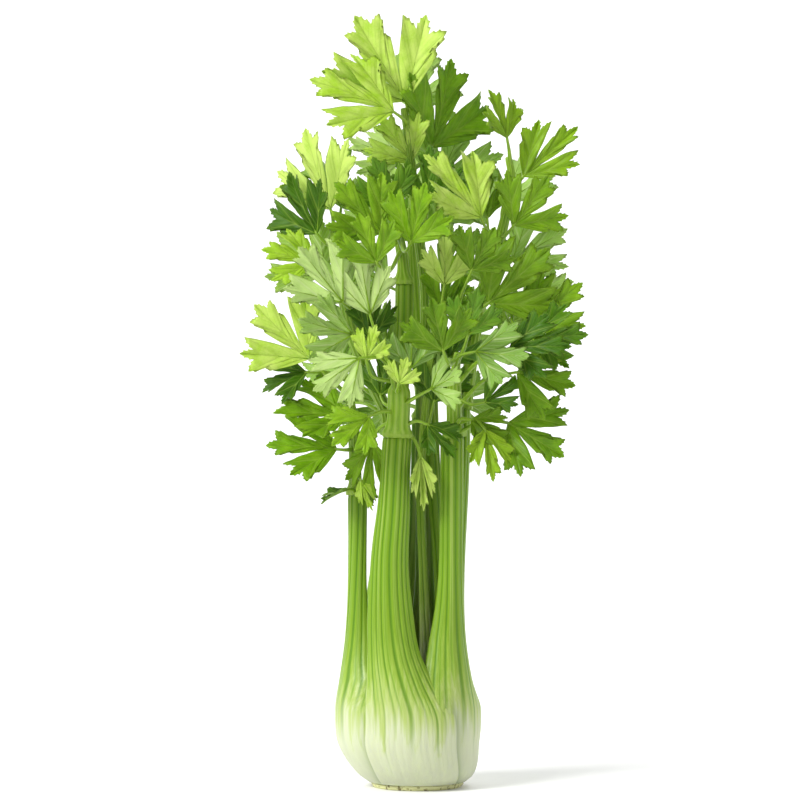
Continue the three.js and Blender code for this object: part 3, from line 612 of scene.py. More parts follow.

# %% [markdown]
# The frond above each joint is a leafstalk that forks into small stems, and each small stem ends in one
# broad leaf. The list gives every leaf one by one, from the photograph in front and by the habit of the plant
# behind: how far up the leafstalk it leaves, where its blade starts and ends, how it is rolled, how narrow
# it is, and what colour it shows. A roll of 180 turns the pale underside out.

# %% List the fronds
FRONDS = {
    "inner_back": dict(path=[(5, 2, 300), (0, -10, 340), (-4, -13, 380), (-8, -14, 409)], leaves=[
        (1, -7, -14, 413, -36, -18, 463, 0, 1, "bright"),
        (0.97, -14, -32, 405, -57, -48, 428, 20, 1, "pale"),
        (0.93, -5, 12, 412, 8, 28, 450, -15, 1, "mid"),
        (0.78, 9, 0, 386, 25, 0, 438, 10, 1, "mid"),
        (0.85, -3, -14, 377, -22, -14, 404, -10, 1, "pale"),
        (0.72, -9, 4, 379, -42, 6, 390, 35, 1, "bright"),
        (0.6, 13, 12, 366, 30, 24, 408, 20, 1, "mid"),
        (0.42, 6, -22, 350, 8, -28, 385, -10, 1, "blue"),
    ]),
    "right_back": dict(path=[(38, 8, 290), (50, -2, 330), (57, -8, 366), (55, -9, 380)], leaves=[
        (1, 54, -14, 391, 47, -22, 419, 10, 1, "olive"),
        (0.85, 64, -8, 368, 96, -6, 399, -20, 0.7, "olive"),
        (0.7, 58, -18, 338, 79, -30, 364, 10, 1, "vivid"),
        (0.5, 38, -32, 342, 8, -42, 380, 5, 1, "bright"),
        (0.6, 42, -18, 342, 40, -22, 376, 15, 0.65, "vivid"),
        (0.76, 53, 6, 354, 66, 26, 384, 0, 1, "mid"),
        (0.45, 58, 16, 318, 90, 26, 338, 0, 1, "mid"),
        (0.22, 50, 26, 276, 78, 40, 294, 0, 1, "vivid"),
    ]),
    "left_back": dict(path=[(-38, 0, 270), (-45, -14, 300), (-51, -19, 338)], leaves=[
        (1, -52, -14, 348, -70, -10, 396, -10, 1, "pale"),
        (0.93, -60, -20, 333, -80, -20, 368, -15, 1, "dark"),
        (0.83, -61, -28, 315, -91, -34, 325, 20, 1, "bright"),
        (0.72, -44, -46, 291, -70, -56, 323, 170, 1, "pale"),
        (0.78, -42, -34, 297, -48, -42, 334, 190, 1, "pale"),
        (0.42, -38, -54, 272, -72, -68, 279, 175, 1, "mid"),
        (0.97, -46, 2, 350, -44, 26, 386, 0, 1, "mid"),
        (0.6, -56, 12, 310, -84, 30, 334, 0, 1, "vivid"),
        (0.3, -28, -30, 270, -24, -34, 302, 0, 0.8, "dark"),
        (0.12, -44, 20, 250, -70, 34, 272, 0, 1, "mid"),
        (0.02, -40, 30, 232, -58, 48, 226, 0, 1, "dark"),
    ]),
    "inner_left": dict(path=[(-9, -16, 320), (-14, -20, 345)], leaves=[
        (1, -15, -30, 347, -25, -38, 377, 10, 1, "blue"),
        (0.8, -22, -40, 332, -47, -50, 362, 15, 1, "mid"),
        (0.5, -24, -54, 314, -34, -64, 342, 5, 0.9, "mid"),
        (0.7, -4, -50, 326, 5, -64, 360, -10, 1, "mid"),
    ]),
    "inner_right": dict(path=[(30, 0, 282), (50, -6, 300), (62, -12, 306)], leaves=[
        (0.55, 42, -32, 291, 78, -38, 322, 0, 1, "vivid"),
        (0.8, 66, -26, 278, 98, -28, 303, -5, 1, "vivid"),
        (1, 68, -36, 270, 100, -44, 272, 10, 1, "dark"),
        (0.4, 32, -44, 310, 46, -54, 334, 10, 1, "vivid"),
        (0.9, 64, 2, 298, 94, 6, 306, 0, 1, "mid"),
    ]),
    "right": dict(path=[(22, -24, 240), (24, -28, 262)], leaves=[
        (0.3, 59, -38, 250, 92, -48, 242, 15, 1, "vivid"),
        (0.6, 54, -50, 264, 86, -66, 267, 0, 1, "dark"),
        (0.02, 54, -30, 220, 86, -38, 200, 10, 1, "vivid"),
        (0.16, 40, -42, 216, 45, -52, 187, 0, 0.75, "olive"),
        (0.75, 34, -54, 262, 66, -66, 258, 185, 1, "blue"),
        (0.9, 30, -44, 272, 36, -52, 298, -10, 1, "blue"),
        (1, 15, -66, 262, 9, -78, 292, 0, 1, "vivid"),
        (0.5, 40, -30, 232, 62, -36, 246, 0, 0.9, "dark"),
        (0.1, 32, -36, 222, 54, -42, 210, 0, 0.8, "vivid"),
    ]),
    "front": dict(path=[(-11, -34, 230), (-11, -38, 248)], leaves=[
        (0.85, -11, -60, 243, -6, -68, 258, 0, 1, "bright"),
        (1, -4, -50, 252, -3, -57, 280, 180, 1, "blue"),
        (0.5, -22, -26, 236, -19, -24, 262, 10, 1, "dark"),
        (0.92, -30, -60, 257, -24, -68, 277, 0, 1, "bright"),
        (0.6, -34, -70, 258, -60, -80, 238, 180, 1, "pale"),
        (0.5, 8, -50, 240, 28, -62, 250, 175, 1, "mid"),
        (0.12, 6, -38, 219, 22, -46, 200, -10, 1, "dark"),
        (0.4, -28, -48, 224, -50, -62, 208, 5, 1, "mid"),
        (0.3, -27, -25, 209, -31, -27, 172, 5, 0.6, "vivid"),
        (0.25, 2, -31, 200, 4, -32, 168, 0, 0.45, "pale"),
        (0.97, -28, -44, 284, -35, -50, 322, 190, 0.7, "pale"),
    ]),
    "left": dict(path=[(-38, -12, 212), (-42, -17, 248)], leaves=[
        (0.4, -48, -22, 204, -88, -30, 210, 20, 1, "mid"),
        (0, -42, -20, 180, -58, -28, 175, 50, 1, "dark"),
        (0.15, -34, -22, 186, -28, -26, 168, 0, 0.6, "bright"),
        (0.6, -42, -30, 224, -82, -42, 231, 20, 1, "mid"),
        (0.85, -64, -32, 258, -96, -32, 290, -5, 1, "bright"),
        (1, -66, -28, 250, -93, -30, 243, 20, 1, "dark"),
    ]),
    "heart_left": dict(path=[(-14, 4, 236), (-17, 4, 258)], leaves=[
        (1, -18, 2, 264, -22, 2, 292, 0, 0.7, "olive"),
    ]),
    "heart_right": dict(path=[(6, -14, 240), (12, -24, 280)], leaves=[
        (1, 16, -32, 302, 18, -38, 332, 0, 1, "pale"),
        (0.9, 16, -22, 286, 30, -26, 304, 0, 0.6, "mid"),
        (0.5, 18, -12, 256, 34, -18, 280, 0, 0.8, "dark"),
        (1, 14, -14, 288, 21, -16, 324, 0, 0.8, "mid"),
        (0.1, 10, -16, 232, 17, -19, 264, 0, 0.9, "dark"),
    ]),
    "back": dict(path=[(1, 38, 262), (-2, 40, 310), (-4, 36, 352)], leaves=[
        (1, -4, 42, 358, -6, 50, 398, 0, 1, "bright"),
        (0.93, 12, 32, 346, 38, 32, 376, 0, 1, "mid"),
        (0.88, -16, 40, 338, -40, 46, 366, 0, 1, "mid"),
        (0.7, 16, 46, 312, 44, 54, 338, 0, 1, "vivid"),
        (0.8, 4, 50, 334, 10, 64, 368, 0, 1, "mid"),
        (0.62, -18, 46, 304, -50, 54, 324, 0, 1, "mid"),
        (0.42, 22, 48, 272, 56, 58, 290, 0, 1, "mid"),
        (0.36, -20, 48, 266, -54, 58, 282, 0, 1, "vivid"),
        (0.28, 6, 54, 256, 12, 70, 284, 0, 1, "mid"),
        (0.12, 22, 42, 232, 50, 52, 228, 0, 1, "dark"),
        (0.04, -18, 44, 230, -46, 54, 220, 0, 1, "mid"),
    ]),
}
print(sum(len(frond["leaves"]) for frond in FRONDS.values()), "leaves")

# %% [markdown]
# A stem follows a line through a few points. The line passes through each point without kinks, because the
# spacing of the points sets how fast it turns. Reading the line by its length keeps the rings of the stem
# evenly spaced.

# %% Lines through points
LINE_SAMPLES = 200


class Line:
    def __init__(self, points):
        self.points = np.asarray(points, dtype=float)
        self.table = np.array([self.at(t) for t in np.linspace(0, 1, LINE_SAMPLES + 1)])
        steps = np.linalg.norm(np.diff(self.table, axis=0), axis=1)
        self.lengths = np.concatenate([[0], np.cumsum(steps)])
        self.length = self.lengths[-1]

    def at(self, t):
        p = self.points
        place = t * (len(p) - 1)
        i = min(int(place), len(p) - 2)
        w = place - i
        before = p[i - 1] if i > 0 else 2 * p[0] - p[1]
        after = p[i + 2] if i + 2 < len(p) else 2 * p[-1] - p[-2]
        a, b, c, d = before, p[i], p[i + 1], after
        d0, d1, d2 = (max(np.linalg.norm(n - m) ** 0.5, 1e-4) for m, n in ((a, b), (b, c), (c, d)))
        t0 = ((b - a) / d0 - (c - a) / (d0 + d1) + (c - b) / d1) * d1
        t1 = ((c - b) / d1 - (d - b) / (d1 + d2) + (d - c) / d2) * d1
        return b + t0 * w + (-3 * b + 3 * c - 2 * t0 - t1) * w * w + (2 * b - 2 * c + t0 + t1) * w ** 3

    def by_length(self, share):
        t = np.interp(share * self.length, self.lengths, np.linspace(0, 1, LINE_SAMPLES + 1))
        return self.at(float(t))

    def along(self, share):
        a = self.by_length(max(share - 0.002, 0))
        b = self.by_length(min(share + 0.002, 1))
        return (b - a) / np.linalg.norm(b - a)


def frond_line(name):
    x, y, z = STALKS[name]["joint"]
    return Line([(x, y, z + GAP), *FRONDS[name]["path"]])


print("front leafstalk is", round(frond_line("front").length), "mm long")

# %% [markdown]
# One leaf shape serves the whole head. It has three lobes, each a wedge with smooth straight sides and
# pointed teeth at its far end, as celery has. The first list gives the tips and notches, as shares of the
# leaf's length. Real teeth are finer than that, so each flank between a notch and a tip swells a little and
# carries one more small tooth, or two where it is long.

# %% Draw the leaf's edge
LOBES = [
    [
        (-0.55, 0.26), (-0.55, 0.36), (-0.78, 0.45), (-0.59, 0.51), (-0.68, 0.7), (-0.49, 0.61),
        (-0.45, 0.81),
    ],
    [
        (-0.2, 0.66), (-0.14, 0.74), (-0.25, 0.9), (-0.1, 0.87), (-0.02, 1.03), (0.09, 0.87),
        (0.22, 0.92), (0.13, 0.74), (0.2, 0.65),
    ],
    [(0.44, 0.79), (0.49, 0.59), (0.68, 0.67), (0.58, 0.48), (0.76, 0.41), (0.53, 0.34), (0.54, 0.25)],
]
CLEFTS = [(-0.055, 0.22), (0.055, 0.23)]
LOBE_AXES = [(-0.7071, 0.7071), (0, 1), (0.7071, 0.7071)]
LEAF_FOOT = 0.016
MAIN_TIPS = [4, 4, 2]
VEIN_SAMPLES = 6
LONG_FLANK = 0.13
LONG_TEETH = [
    (0.14, 0.05), (0.31, 0.15), (0.37, 0.04), (0.5, 0.08), (0.65, 0.17), (0.7, 0.06), (0.85, 0.05), (1, 0),
]
SHORT_TEETH = [(0.25, 0.07), (0.52, 0.17), (0.6, 0.05), (0.8, 0.04), (1, 0)]
SIDE_KNOTS = [0.2, 0.4, 0.6, 0.8, 1]


def between(start, end, shares, swells):
    start, end = np.array(start), np.array(end)
    step = end - start
    out = np.array([-step[1], step[0]])
    return [start + step * share + out * swell for share, swell in zip(shares, swells)]


def flank(start, end, rising, turn):
    """The points of one tooth's flank, without its start. rising means that it ends at the tooth's tip."""
    length = np.linalg.norm(np.subtract(end, start))
    teeth = LONG_TEETH if length > LONG_FLANK else SHORT_TEETH
    if not rising:
        teeth = [(1 - share, swell) for share, swell in teeth[-2::-1]] + [(1, 0)]
    shares, swells = zip(*teeth)
    return between(start, end, shares, [turn * swell for swell in swells]), shares


def smooth_side(start, end, turn):
    swells = [0.025 * turn * math.sin(math.pi * share) for share in SIDE_KNOTS]
    return between(start, end, SIDE_KNOTS, swells), SIDE_KNOTS


def lobe_side(foot, cleft, teeth, turn):
    """The edge of half a lobe from foot to main tip: its points, their veins, and which are the rim."""
    points, vein, rim = [np.array(foot)], [0.5], [cleft is None]
    if cleft is not None:
        seam, shares = between(foot, cleft, [0.5, 1], [0, 0]), [0.5, 1]
        points += seam
        vein += [0.5, 0.5]
        rim += [False, True]
    pieces = [smooth_side(points[-1], teeth[0], turn)]
    pieces += [flank(a, b, i % 2 == 1, turn) for i, (a, b) in enumerate(zip(teeth, teeth[1:]))]
    number = 0.5
    for piece, shares in pieces:
        points += piece
        vein += [number + 0.5 * share for share in shares]
        rim += [True] * len(piece)
        number += 0.5
    return points, vein, rim


def even_out(side, count):
    points, vein, rim = side
    while len(points) < count:
        lengths = [np.linalg.norm(b - a) for a, b in zip(points, points[1:])]
        i = int(np.argmax(lengths))
        points.insert(i + 1, (points[i] + points[i + 1]) / 2)
        vein.insert(i + 1, (vein[i] + vein[i + 1]) / 2)
        rim.insert(i + 1, rim[i] and rim[i + 1])
    return np.array(points), np.array(vein), np.array(rim, dtype=float)


left, middle, right = LOBES
FOOT_LEFT, FOOT_RIGHT, FOOT = (-LEAF_FOOT, 0.0), (LEAF_FOOT, 0.0), (0.0, 0.0)
half_lobes = [
    (0, lobe_side(FOOT_LEFT, None, left[:5], 1), True),
    (0, lobe_side(FOOT, CLEFTS[0], left[:3:-1], -1), False),
    (1, lobe_side(FOOT, CLEFTS[0], middle[:5], 1), True),
    (1, lobe_side(FOOT, CLEFTS[1], middle[:3:-1], -1), False),
    (2, lobe_side(FOOT, CLEFTS[1], right[:3], 1), True),
    (2, lobe_side(FOOT_RIGHT, None, right[:1:-1], -1), False),
]
side_count = {lobe: max(len(half[1][0]) for half in half_lobes if half[0] == lobe) for lobe in range(3)}
half_lobes = [(lobe, even_out(half, side_count[lobe]), flip) for lobe, half, flip in half_lobes]
print("half lobes have", [len(half[1][0]) for half in half_lobes], "edge points")

# %% [markdown]
# The blade between the edge and the midrib of each lobe is filled with lines that run from the midrib to the
# edge, slanting forward as veins do. Each point remembers which vein it is near and how far out it lies. That
# pair of numbers later draws crisp veins, and it raises the blade between them. The flat pattern is made once
# and bent separately for every leaf.

# %% Fill the leaf with a grid
OUTWARD_CROWDING = 0.9
SPINE_REACH = 0.93
SPINE_CROWDING = 1.3
VEIN_SPREAD = 0.13


class LeafPattern:
    def __init__(self):
        self.flat, self.vein, self.out, self.rim = [], [], [], []
        self.faces, self.maps = [], []
        found = {}
        reach = np.linspace(0, 1, VEIN_SAMPLES + 1) ** OUTWARD_CROWDING
        for lobe, (edge, vein, rim), flip in half_lobes:
            tip = np.array(LOBES[lobe][MAIN_TIPS[lobe]])
            last = len(edge) - 1
            share = SPINE_REACH * np.linspace(0, 1, last + 1) ** SPINE_CROWDING
            spine = tip * share[:, None]
            grid = np.zeros((last + 1, VEIN_SAMPLES + 1), dtype=int)
            for j in range(last + 1):
                for k in range(VEIN_SAMPLES + 1):
                    place = spine[j] + (edge[j] - spine[j]) * reach[k]
                    key = tuple(np.round(place, 5))
                    if key not in found:
                        found[key] = len(self.flat)
                        self.flat.append(place)
                        self.vein.append(vein[j])
                        self.out.append(reach[k])
                        self.rim.append(rim[j] * (k == VEIN_SAMPLES) or float(j == 0))
                    grid[j, k] = found[key]
            for j in range(last):
                for k in range(VEIN_SAMPLES):
                    ring = [(j, k), (j + 1, k), (j + 1, k + 1), (j, k + 1)]
                    if not flip:
                        ring = ring[::-1]
                    corners, maps = [], []
                    for a, b in ring:
                        if grid[a, b] not in corners:
                            corners.append(grid[a, b])
                            maps.append((vein[a] + 4 * lobe, reach[b]))
                    if len(corners) > 2:
                        self.faces.append(corners)
                        self.maps.append(maps)
        self.flat, self.vein = np.array(self.flat), np.array(self.vein)
        self.out, self.rim = np.array(self.out), np.array(self.rim)


pattern = LeafPattern()
near_vein = np.abs(pattern.vein - np.round(pattern.vein))
on_vein = np.exp(-(near_vein / VEIN_SPREAD) ** 2) * (np.round(pattern.vein) >= 1)
midrib = np.exp(-(pattern.out / VEIN_SPREAD) ** 2)
across, along = pattern.flat[:, 0], pattern.flat[:, 1]
axis_gap = np.min([np.abs(across * axis[1] - along * axis[0]) for axis in LOBE_AXES], axis=0)
print("one leaf:", len(pattern.flat), "points,", len(pattern.faces), "faces a side")

# %% [markdown]
# A leaf is matt satin green above and paler below, with light veins. Sunlit leaves glow because light comes
# through them, so each side mixes a plain glossy surface with one that lets light through. The two numbers
# stored on every leaf, shade and tint, make one recipe serve bright, dark, bluish and yellowish leaves.

# %% Paint the leaves
UPPER_COLOURS = [
    (0.0, paint(44, 88, 4)),
    (0.3, paint(78, 130, 5)),
    (0.55, paint(126, 176, 16)),
    (0.8, paint(184, 226, 58)),
    (1.0, paint(222, 245, 126)),
]
UNDER_COLOURS = [
    (0.0, paint(112, 154, 54)),
    (0.5, paint(164, 206, 90)),
    (1.0, paint(218, 242, 154)),
]
YELLOWER = paint(176, 204, 44)
BLUER = paint(96, 148, 56)
RIM_GREEN = paint(168, 200, 70)
GLOW_GREEN = paint(190, 215, 60)
LEAF_GLOW = 0.32
FINE_VEINS = 6.0


def paint_leaf(name, colours, vein_colour, vein_strength, roughness):
    recipe = Recipe(name)
    number, out = recipe.parts(recipe.pattern())
    near = recipe.math("ABSOLUTE", recipe.math("SUBTRACT", number, recipe.math("ROUND", number)))
    width = recipe.math("SUBTRACT", 0.06, recipe.times(out, 0.045))
    vein = recipe.span(recipe.math("DIVIDE", near, width), 0.4, 1.3, 1.0, 0.0)
    between_veins = recipe.math("FRACT", recipe.times(number, FINE_VEINS))
    fine = recipe.math("ABSOLUTE", recipe.math("SUBTRACT", between_veins, 0.5))
    fine = recipe.times(recipe.span(fine, 0.02, 0.2, 1.0, 0.0), 0.5)
    spine = recipe.span(out, 0.02, 0.085, 1.0, 0.0)
    vein = recipe.math("MAXIMUM", recipe.math("MAXIMUM", vein, spine), fine)
    vein = recipe.times(vein, recipe.span(out, 0.8, 1.0, 1.0, 0.3))
    mottle = recipe.noise(110, (1, 1, 1), 4.0, 0.6)
    speck = recipe.noise(900, (1, 1, 1), 2.0)
    shade = recipe.vary(recipe.vary(recipe.stored("shade"), mottle, 0.5), speck, 0.12)
    colour = recipe.row_of_colours(shade, colours)
    tint = recipe.stored("tint")
    colour = recipe.blend(recipe.span(tint, 0.0, 1.0, 0.0, 0.55), colour, YELLOWER)
    colour = recipe.blend(recipe.span(tint, 0.0, -1.0, 0.0, 0.5), colour, BLUER)
    colour = recipe.lay(colour, RIM_GREEN, recipe.span(out, 0.86, 1.0), 0.25)
    colour = recipe.lay(colour, vein_colour, vein, vein_strength)
    satin = recipe.span(speck, 0.2, 0.8, roughness - 0.05, roughness + 0.08)
    recipe.set(Base_Color=colour, Roughness=satin, Specular_IOR_Level=0.28)
    relief = recipe.math("SUBTRACT", recipe.times(mottle, 0.6), recipe.times(vein, 1.1))
    recipe.bump(recipe.math("ADD", relief, recipe.times(speck, 0.25)), 0.0003, 0.7)
    glow = recipe.node("ShaderNodeBsdfTranslucent", {"Color": recipe.blend(0.35, colour, GLOW_GREEN)})
    sides = {"Fac": LEAF_GLOW, 1: recipe.surface.outputs[0], 2: glow.outputs[0]}
    both = recipe.node("ShaderNodeMixShader", sides)
    recipe.put(recipe.output.inputs["Surface"], both.outputs[0])
    return recipe.material


leaf_upper = paint_leaf("leaf_upper", UPPER_COLOURS, paint(176, 206, 84), 0.34, 0.4)
leaf_under = paint_leaf("leaf_under", UNDER_COLOURS, paint(216, 234, 164), 0.6, 0.55)
print("leaf sides painted")

# %% [markdown]
# Each leaf is then the flat pattern, placed on its own axes and bent. It folds along the middle and along
# each lobe, droops at the tip, twists a little, curls at the edge and puckers between the veins. Each of
# these habits has a low and a high value and a shift that gives it a draw of its own. Both sides share their
# edge points, so the leaf is a closed thin lens that thins out to nothing, like the real edge.

# %% Bend and place a leaf
LEAF_HALF_THICKNESS = 0.2
LEAF_SEEDS = 20
ROOT_SHARE = 0.96
FACE_OUTWARD = 0.45
FACE_FORWARD = 0.8
FACE_UPWARD = 0.35
FOLD_SOFTNESS = (0.0012, 0.035)
CREASE_SOFTNESS = (0.0004, 0.02)
LEAF_HABITS = {
    "droop": (0.02, 0.26, 0.0), "fold": (-0.12, 0.22, 0.37), "crease": (0.12, 0.5, 0.11),
    "twist": (-0.25, 0.25, 0.71), "breadth": (0.74, 1, 0.53), "phase": (0, 2 * math.pi, 0.19),
}
CURLS = [(0.030, 2, 6, 5, 1), (0.012, 3, 13, 9, 1.7), (0.010, 2, 23, -15, 2.3)]
VEIN_RELIEF = 0.010
FOOT_FADE = 0.12
SHADE_SPREAD = 0.16
TINT_SPREAD = 0.2
FINISHES = {
    "bright": (0.86, 0.2), "pale": (0.95, -0.1), "vivid": (0.44, 0.35), "mid": (0.56, 0.1),
    "dark": (0.2, 0.1), "blue": (0.46, -0.7), "olive": (0.6, 0.45),
}


def unit(vector):
    return vector / np.linalg.norm(vector)


def leaf_axes(leaf):
    base = np.array(leaf[1:4], dtype=float)
    step = np.array(leaf[4:7], dtype=float) - base
    length = np.linalg.norm(step)
    along = step / length
    out = FACE_OUTWARD * unit(np.array([base[0] - BULB_AXIS_SHIFT, base[1], 0.0]))
    out = out + np.array([0, FACE_FORWARD if base[1] > 0 else -FACE_FORWARD, FACE_UPWARD])
    face = unit(out - along * np.dot(out, along))
    turn = math.radians(leaf[7])
    face = face * math.cos(turn) + np.cross(along, face) * math.sin(turn)
    return base, along, np.cross(along, face), face, length


def soft_fold(distance, softness, sink):
    return np.sqrt(distance ** 2 + softness) - sink


def bend_leaf(leaf, seed):
    base, along, across, face, length = leaf_axes(leaf)
    habits = (mix(low, high, chance(seed + shift)) for low, high, shift in LEAF_HABITS.values())
    droop, fold, crease, twist, breadth, phase = habits
    u, v = pattern.flat[:, 0], pattern.flat[:, 1]
    out = pattern.out
    fade = ease(v / FOOT_FADE)
    height = fold * soft_fold(u, *FOLD_SOFTNESS) + crease * soft_fold(axis_gap, *CREASE_SOFTNESS)
    height += twist * u * v - droop * v * v
    height -= VEIN_RELIEF * fade * (on_vein * (1 - 0.6 * out) + midrib * (1 - 0.6 * v))
    between_veins = np.sin(math.pi * np.clip(2 * near_vein, 0, 1))
    height += VEIN_RELIEF * between_veins * np.sin(math.pi * out) * fade
    for size, power, across_waves, along_waves, shift in CURLS:
        waves = np.sin(across_waves * u + along_waves * v + shift * phase)
        height += size * out ** power * fade * waves
    centre = base + np.outer(u * breadth * leaf[8] * length, across) + np.outer(v * length, along)
    centre += np.outer(height * length, face)
    lift = np.outer(np.where(pattern.rim > 0, 0.0, LEAF_HALF_THICKNESS), face)
    return centre + lift, centre - lift


def leaf_mesh(name):
    place = list(FRONDS).index(name)
    points, faces, maps, sides, shades, tints = [], [], [], [], [], []
    inner = np.where(pattern.rim == 0)[0]
    upper_index = np.arange(len(pattern.flat))
    under_index = upper_index.copy()
    under_index[inner] = len(pattern.flat) + np.arange(len(inner))
    for i, leaf in enumerate(FRONDS[name]["leaves"]):
        seed = LEAF_SEEDS * place + i
        top, under = bend_leaf(leaf, seed)
        start = sum(len(p) for p in points)
        points.append(np.concatenate([top, under[inner]]))
        shade, tint = FINISHES[leaf[9]]
        shade += SHADE_SPREAD * (chance(seed + 0.9) - 0.5)
        tint += TINT_SPREAD * (chance(seed + 0.8) - 0.5)
        shades.append(np.full(len(points[-1]), shade))
        tints.append(np.full(len(points[-1]), tint))
        for side, index, order in ((0, upper_index, 1), (1, under_index, -1)):
            for corners, map_values in zip(pattern.faces, pattern.maps):
                faces.append([start + index[c] for c in corners[::order]])
                maps.extend(map_values[::order])
                sides.append(side)
    stored = {"shade": np.concatenate(shades), "tint": np.concatenate(tints)}
    skins = [leaf_upper, leaf_under]
    return piece_from(f"{name}_leaves", np.concatenate(points), faces, maps, stored, skins, sides)


for name in FRONDS:
    stand_for(leaf_mesh(name), f"{name}_frond")

# %% [markdown]
# The leafstalk has the same strings as the stalk below it, so it is ribbed too, and it swells where it
# leaves the stalk. Small stems carry the leaves.

# %% Paint the stems
recipe = Recipe("leafstalk_skin")
streak = recipe.noise(700, (1, 1, 0.06), 3.0, 0.6)
patch = recipe.noise(45, (1, 1, 0.5), 2.0)
rib = recipe.stored("rib")
colour = recipe.blend(patch, stalk_paint(138, 182, 30), stalk_paint(160, 200, 52))
colour = recipe.lay(colour, stalk_paint(100, 148, 16), recipe.span(streak, 0.45, 0.75), 0.5)
colour = recipe.lay(colour, stalk_paint(190, 216, 104), recipe.span(rib, 0.4, 1.0), 0.42)
colour = recipe.lay(colour, stalk_paint(98, 150, 6), recipe.span(rib, 0.25, 0.0), 0.5)
recipe.set(
    Base_Color=colour, Roughness=recipe.span(streak, 0.2, 0.8, 0.3, 0.45), Specular_IOR_Level=0.3,
    Coat_Weight=0.04, Subsurface_Weight=0.15, Subsurface_Radius=(0.8, 1.0, 0.3), Subsurface_Scale=0.002,
)
recipe.bump(streak, 0.0002, 0.6)
leafstalk_skin = recipe.material
print("stems painted")

# %% [markdown]
# Rings lie close together at the joint, where the swelling ends in a sharp shoulder, and further apart above.
# A stem that carries a leaf starts inside the leafstalk and bends over into the line of its leaf.

# %% Draw the leafstalk and the small stems
JOINT_SWELL = [(0, 0.94), (2.5, 1), (5.5, 0.4), (10, 0.06), (16, 0)]
JOINT_DEPTH_SHARE = 0.62
STEM_SHARE = 0.27
THICK_LENGTH = 0.45
STEM_TIP_RADIUS = 2
STEM_RIBS = 11
STEM_RIB_HEIGHT = 0.24
STEM_SIDES = 54
STEM_LOW_RINGS = (0, 0.4, 1, 1.8, 2.6, 3.6, 5, 7)
STEM_UPPER_START = 9
STEM_RING_STEP = 2.4
STEM_LAST_GAP = 0.6
JOINT_LIP = 1.5
TIP_CLOSING = 0.35
TIP_CLOSING_LENGTH = 0.5
SMALL_STEM_RADII = (1.45, 0.85)
SMALL_STEM_END_RADIUS = 0.5
SMALL_STEM_END = 0.06
SMALL_STEM_LEAD = 0.4
SMALL_STEM_RINGS = 11
SMALL_STEM_SIDES = 10
SMALL_STEM_RIBS = 3
SMALL_STEM_RIB_HEIGHT = 0.08


def tube(centres, alongs, first_across, wides, deeps, sides, ribs=0, relief=0.0):
    turns = np.linspace(0, 2 * math.pi, sides, endpoint=False)
    wave = np.cos(ribs * turns)
    rings = []
    for centre, along, wide, deep in zip(centres, alongs, wides, deeps):
        across = unit(first_across - along * np.dot(first_across, along))
        out = np.cross(across, along)
        swell = relief * wave
        aside = np.outer((wide + swell) * np.cos(turns), across)
        outward = np.outer((deep + swell) * np.sin(turns), out)
        rings.append(centre + aside + outward)
    return rings, np.tile(0.5 + 0.5 * wave if ribs else np.full(sides, 0.3), len(rings))


class Stems:
    def __init__(self):
        self.points, self.faces, self.rib, self.count = [], [], [], 0

    def add(self, rings, rib):
        points = np.concatenate(rings)
        faces = skin_of_rings(rings)
        corner = rings[0][0]
        turning = np.cross(rings[0][1] - corner, rings[0][2] - corner)
        if np.dot(turning, rings[1][0] - corner) > 0:
            faces = [face[::-1] for face in faces]
        self.faces += [[self.count + c for c in face] for face in faces]
        self.points.append(points)
        self.rib.append(rib)
        self.count += len(points)


def leafstalk(stems, name, line):
    stalk = STALKS[name]
    facing = math.radians(stalk["face"])
    sideways = np.array([-math.sin(facing), math.cos(facing), 0])
    thick = stalk.get("thick", THICK_LENGTH)
    ring_count = round(line.length / STEM_RING_STEP)
    upper = np.linspace(STEM_UPPER_START, line.length - STEM_LAST_GAP, ring_count)
    distances = [*STEM_LOW_RINGS, *upper, line.length]
    centres, alongs, wides, deeps = [], [], [], []
    for distance in distances:
        share = distance / line.length
        slim = ease((share - thick) / (1 - thick))
        thin = mix(stalk["width"] * stalk.get("stem", STEM_SHARE), STEM_TIP_RADIUS, slim)
        swell = smooth_line(JOINT_SWELL, distance)
        close = 1 - TIP_CLOSING * math.exp(-((line.length - distance) / TIP_CLOSING_LENGTH) ** 2)
        centres.append(line.by_length(share))
        alongs.append(line.along(share))
        wides.append(close * mix(thin, stalk["width"] / 2, swell))
        deeps.append(close * mix(thin, stalk["depth"] * JOINT_DEPTH_SHARE, swell))
    rings, rib = tube(centres, alongs, sideways, wides, deeps, STEM_SIDES, STEM_RIBS, STEM_RIB_HEIGHT)
    pale = [math.exp(-((distance - JOINT_LIP) / JOINT_LIP) ** 2) for distance in distances]
    stems.add(rings, np.maximum(rib, np.repeat(pale, STEM_SIDES)))


def small_stem(stems, leaf, line):
    base, along, across, face, length = leaf_axes(leaf)
    root = line.by_length(ROOT_SHARE * leaf[0])
    reach = np.linalg.norm(root - base)
    bend = mix(base - SMALL_STEM_LEAD * reach * along, mix(root, base, 0.5), 0.5)
    small = Line([root, bend, base])
    shares = np.linspace(0, 1, SMALL_STEM_RINGS)
    centres = [small.by_length(s) for s in shares] + [base + SMALL_STEM_END * length * along]
    alongs = [small.along(s) for s in shares] + [along]
    radii = [mix(*SMALL_STEM_RADII, ease(s)) for s in shares] + [SMALL_STEM_END_RADIUS]
    ribs = (SMALL_STEM_SIDES, SMALL_STEM_RIBS, SMALL_STEM_RIB_HEIGHT)
    stems.add(*tube(centres, alongs, across, radii, radii, *ribs))


print("leafstalks will have", STEM_RIBS, "ribs")

# %% [markdown]
# Under each blade the stem runs on as a raised midrib that forks into the lobes and thins out towards their
# tips. All the stems and midribs of a frond are tubes, kept together in one piece.

# %% Raise the midribs and join the stems of each frond
MIDRIB_START = 0.03
MIDRIB_END = 0.72
MIDRIB_RADII = (0.62, 0.12)
MIDRIB_DROP = 0.12
MIDRIB_RINGS = 9
MIDRIB_SIDES = 6


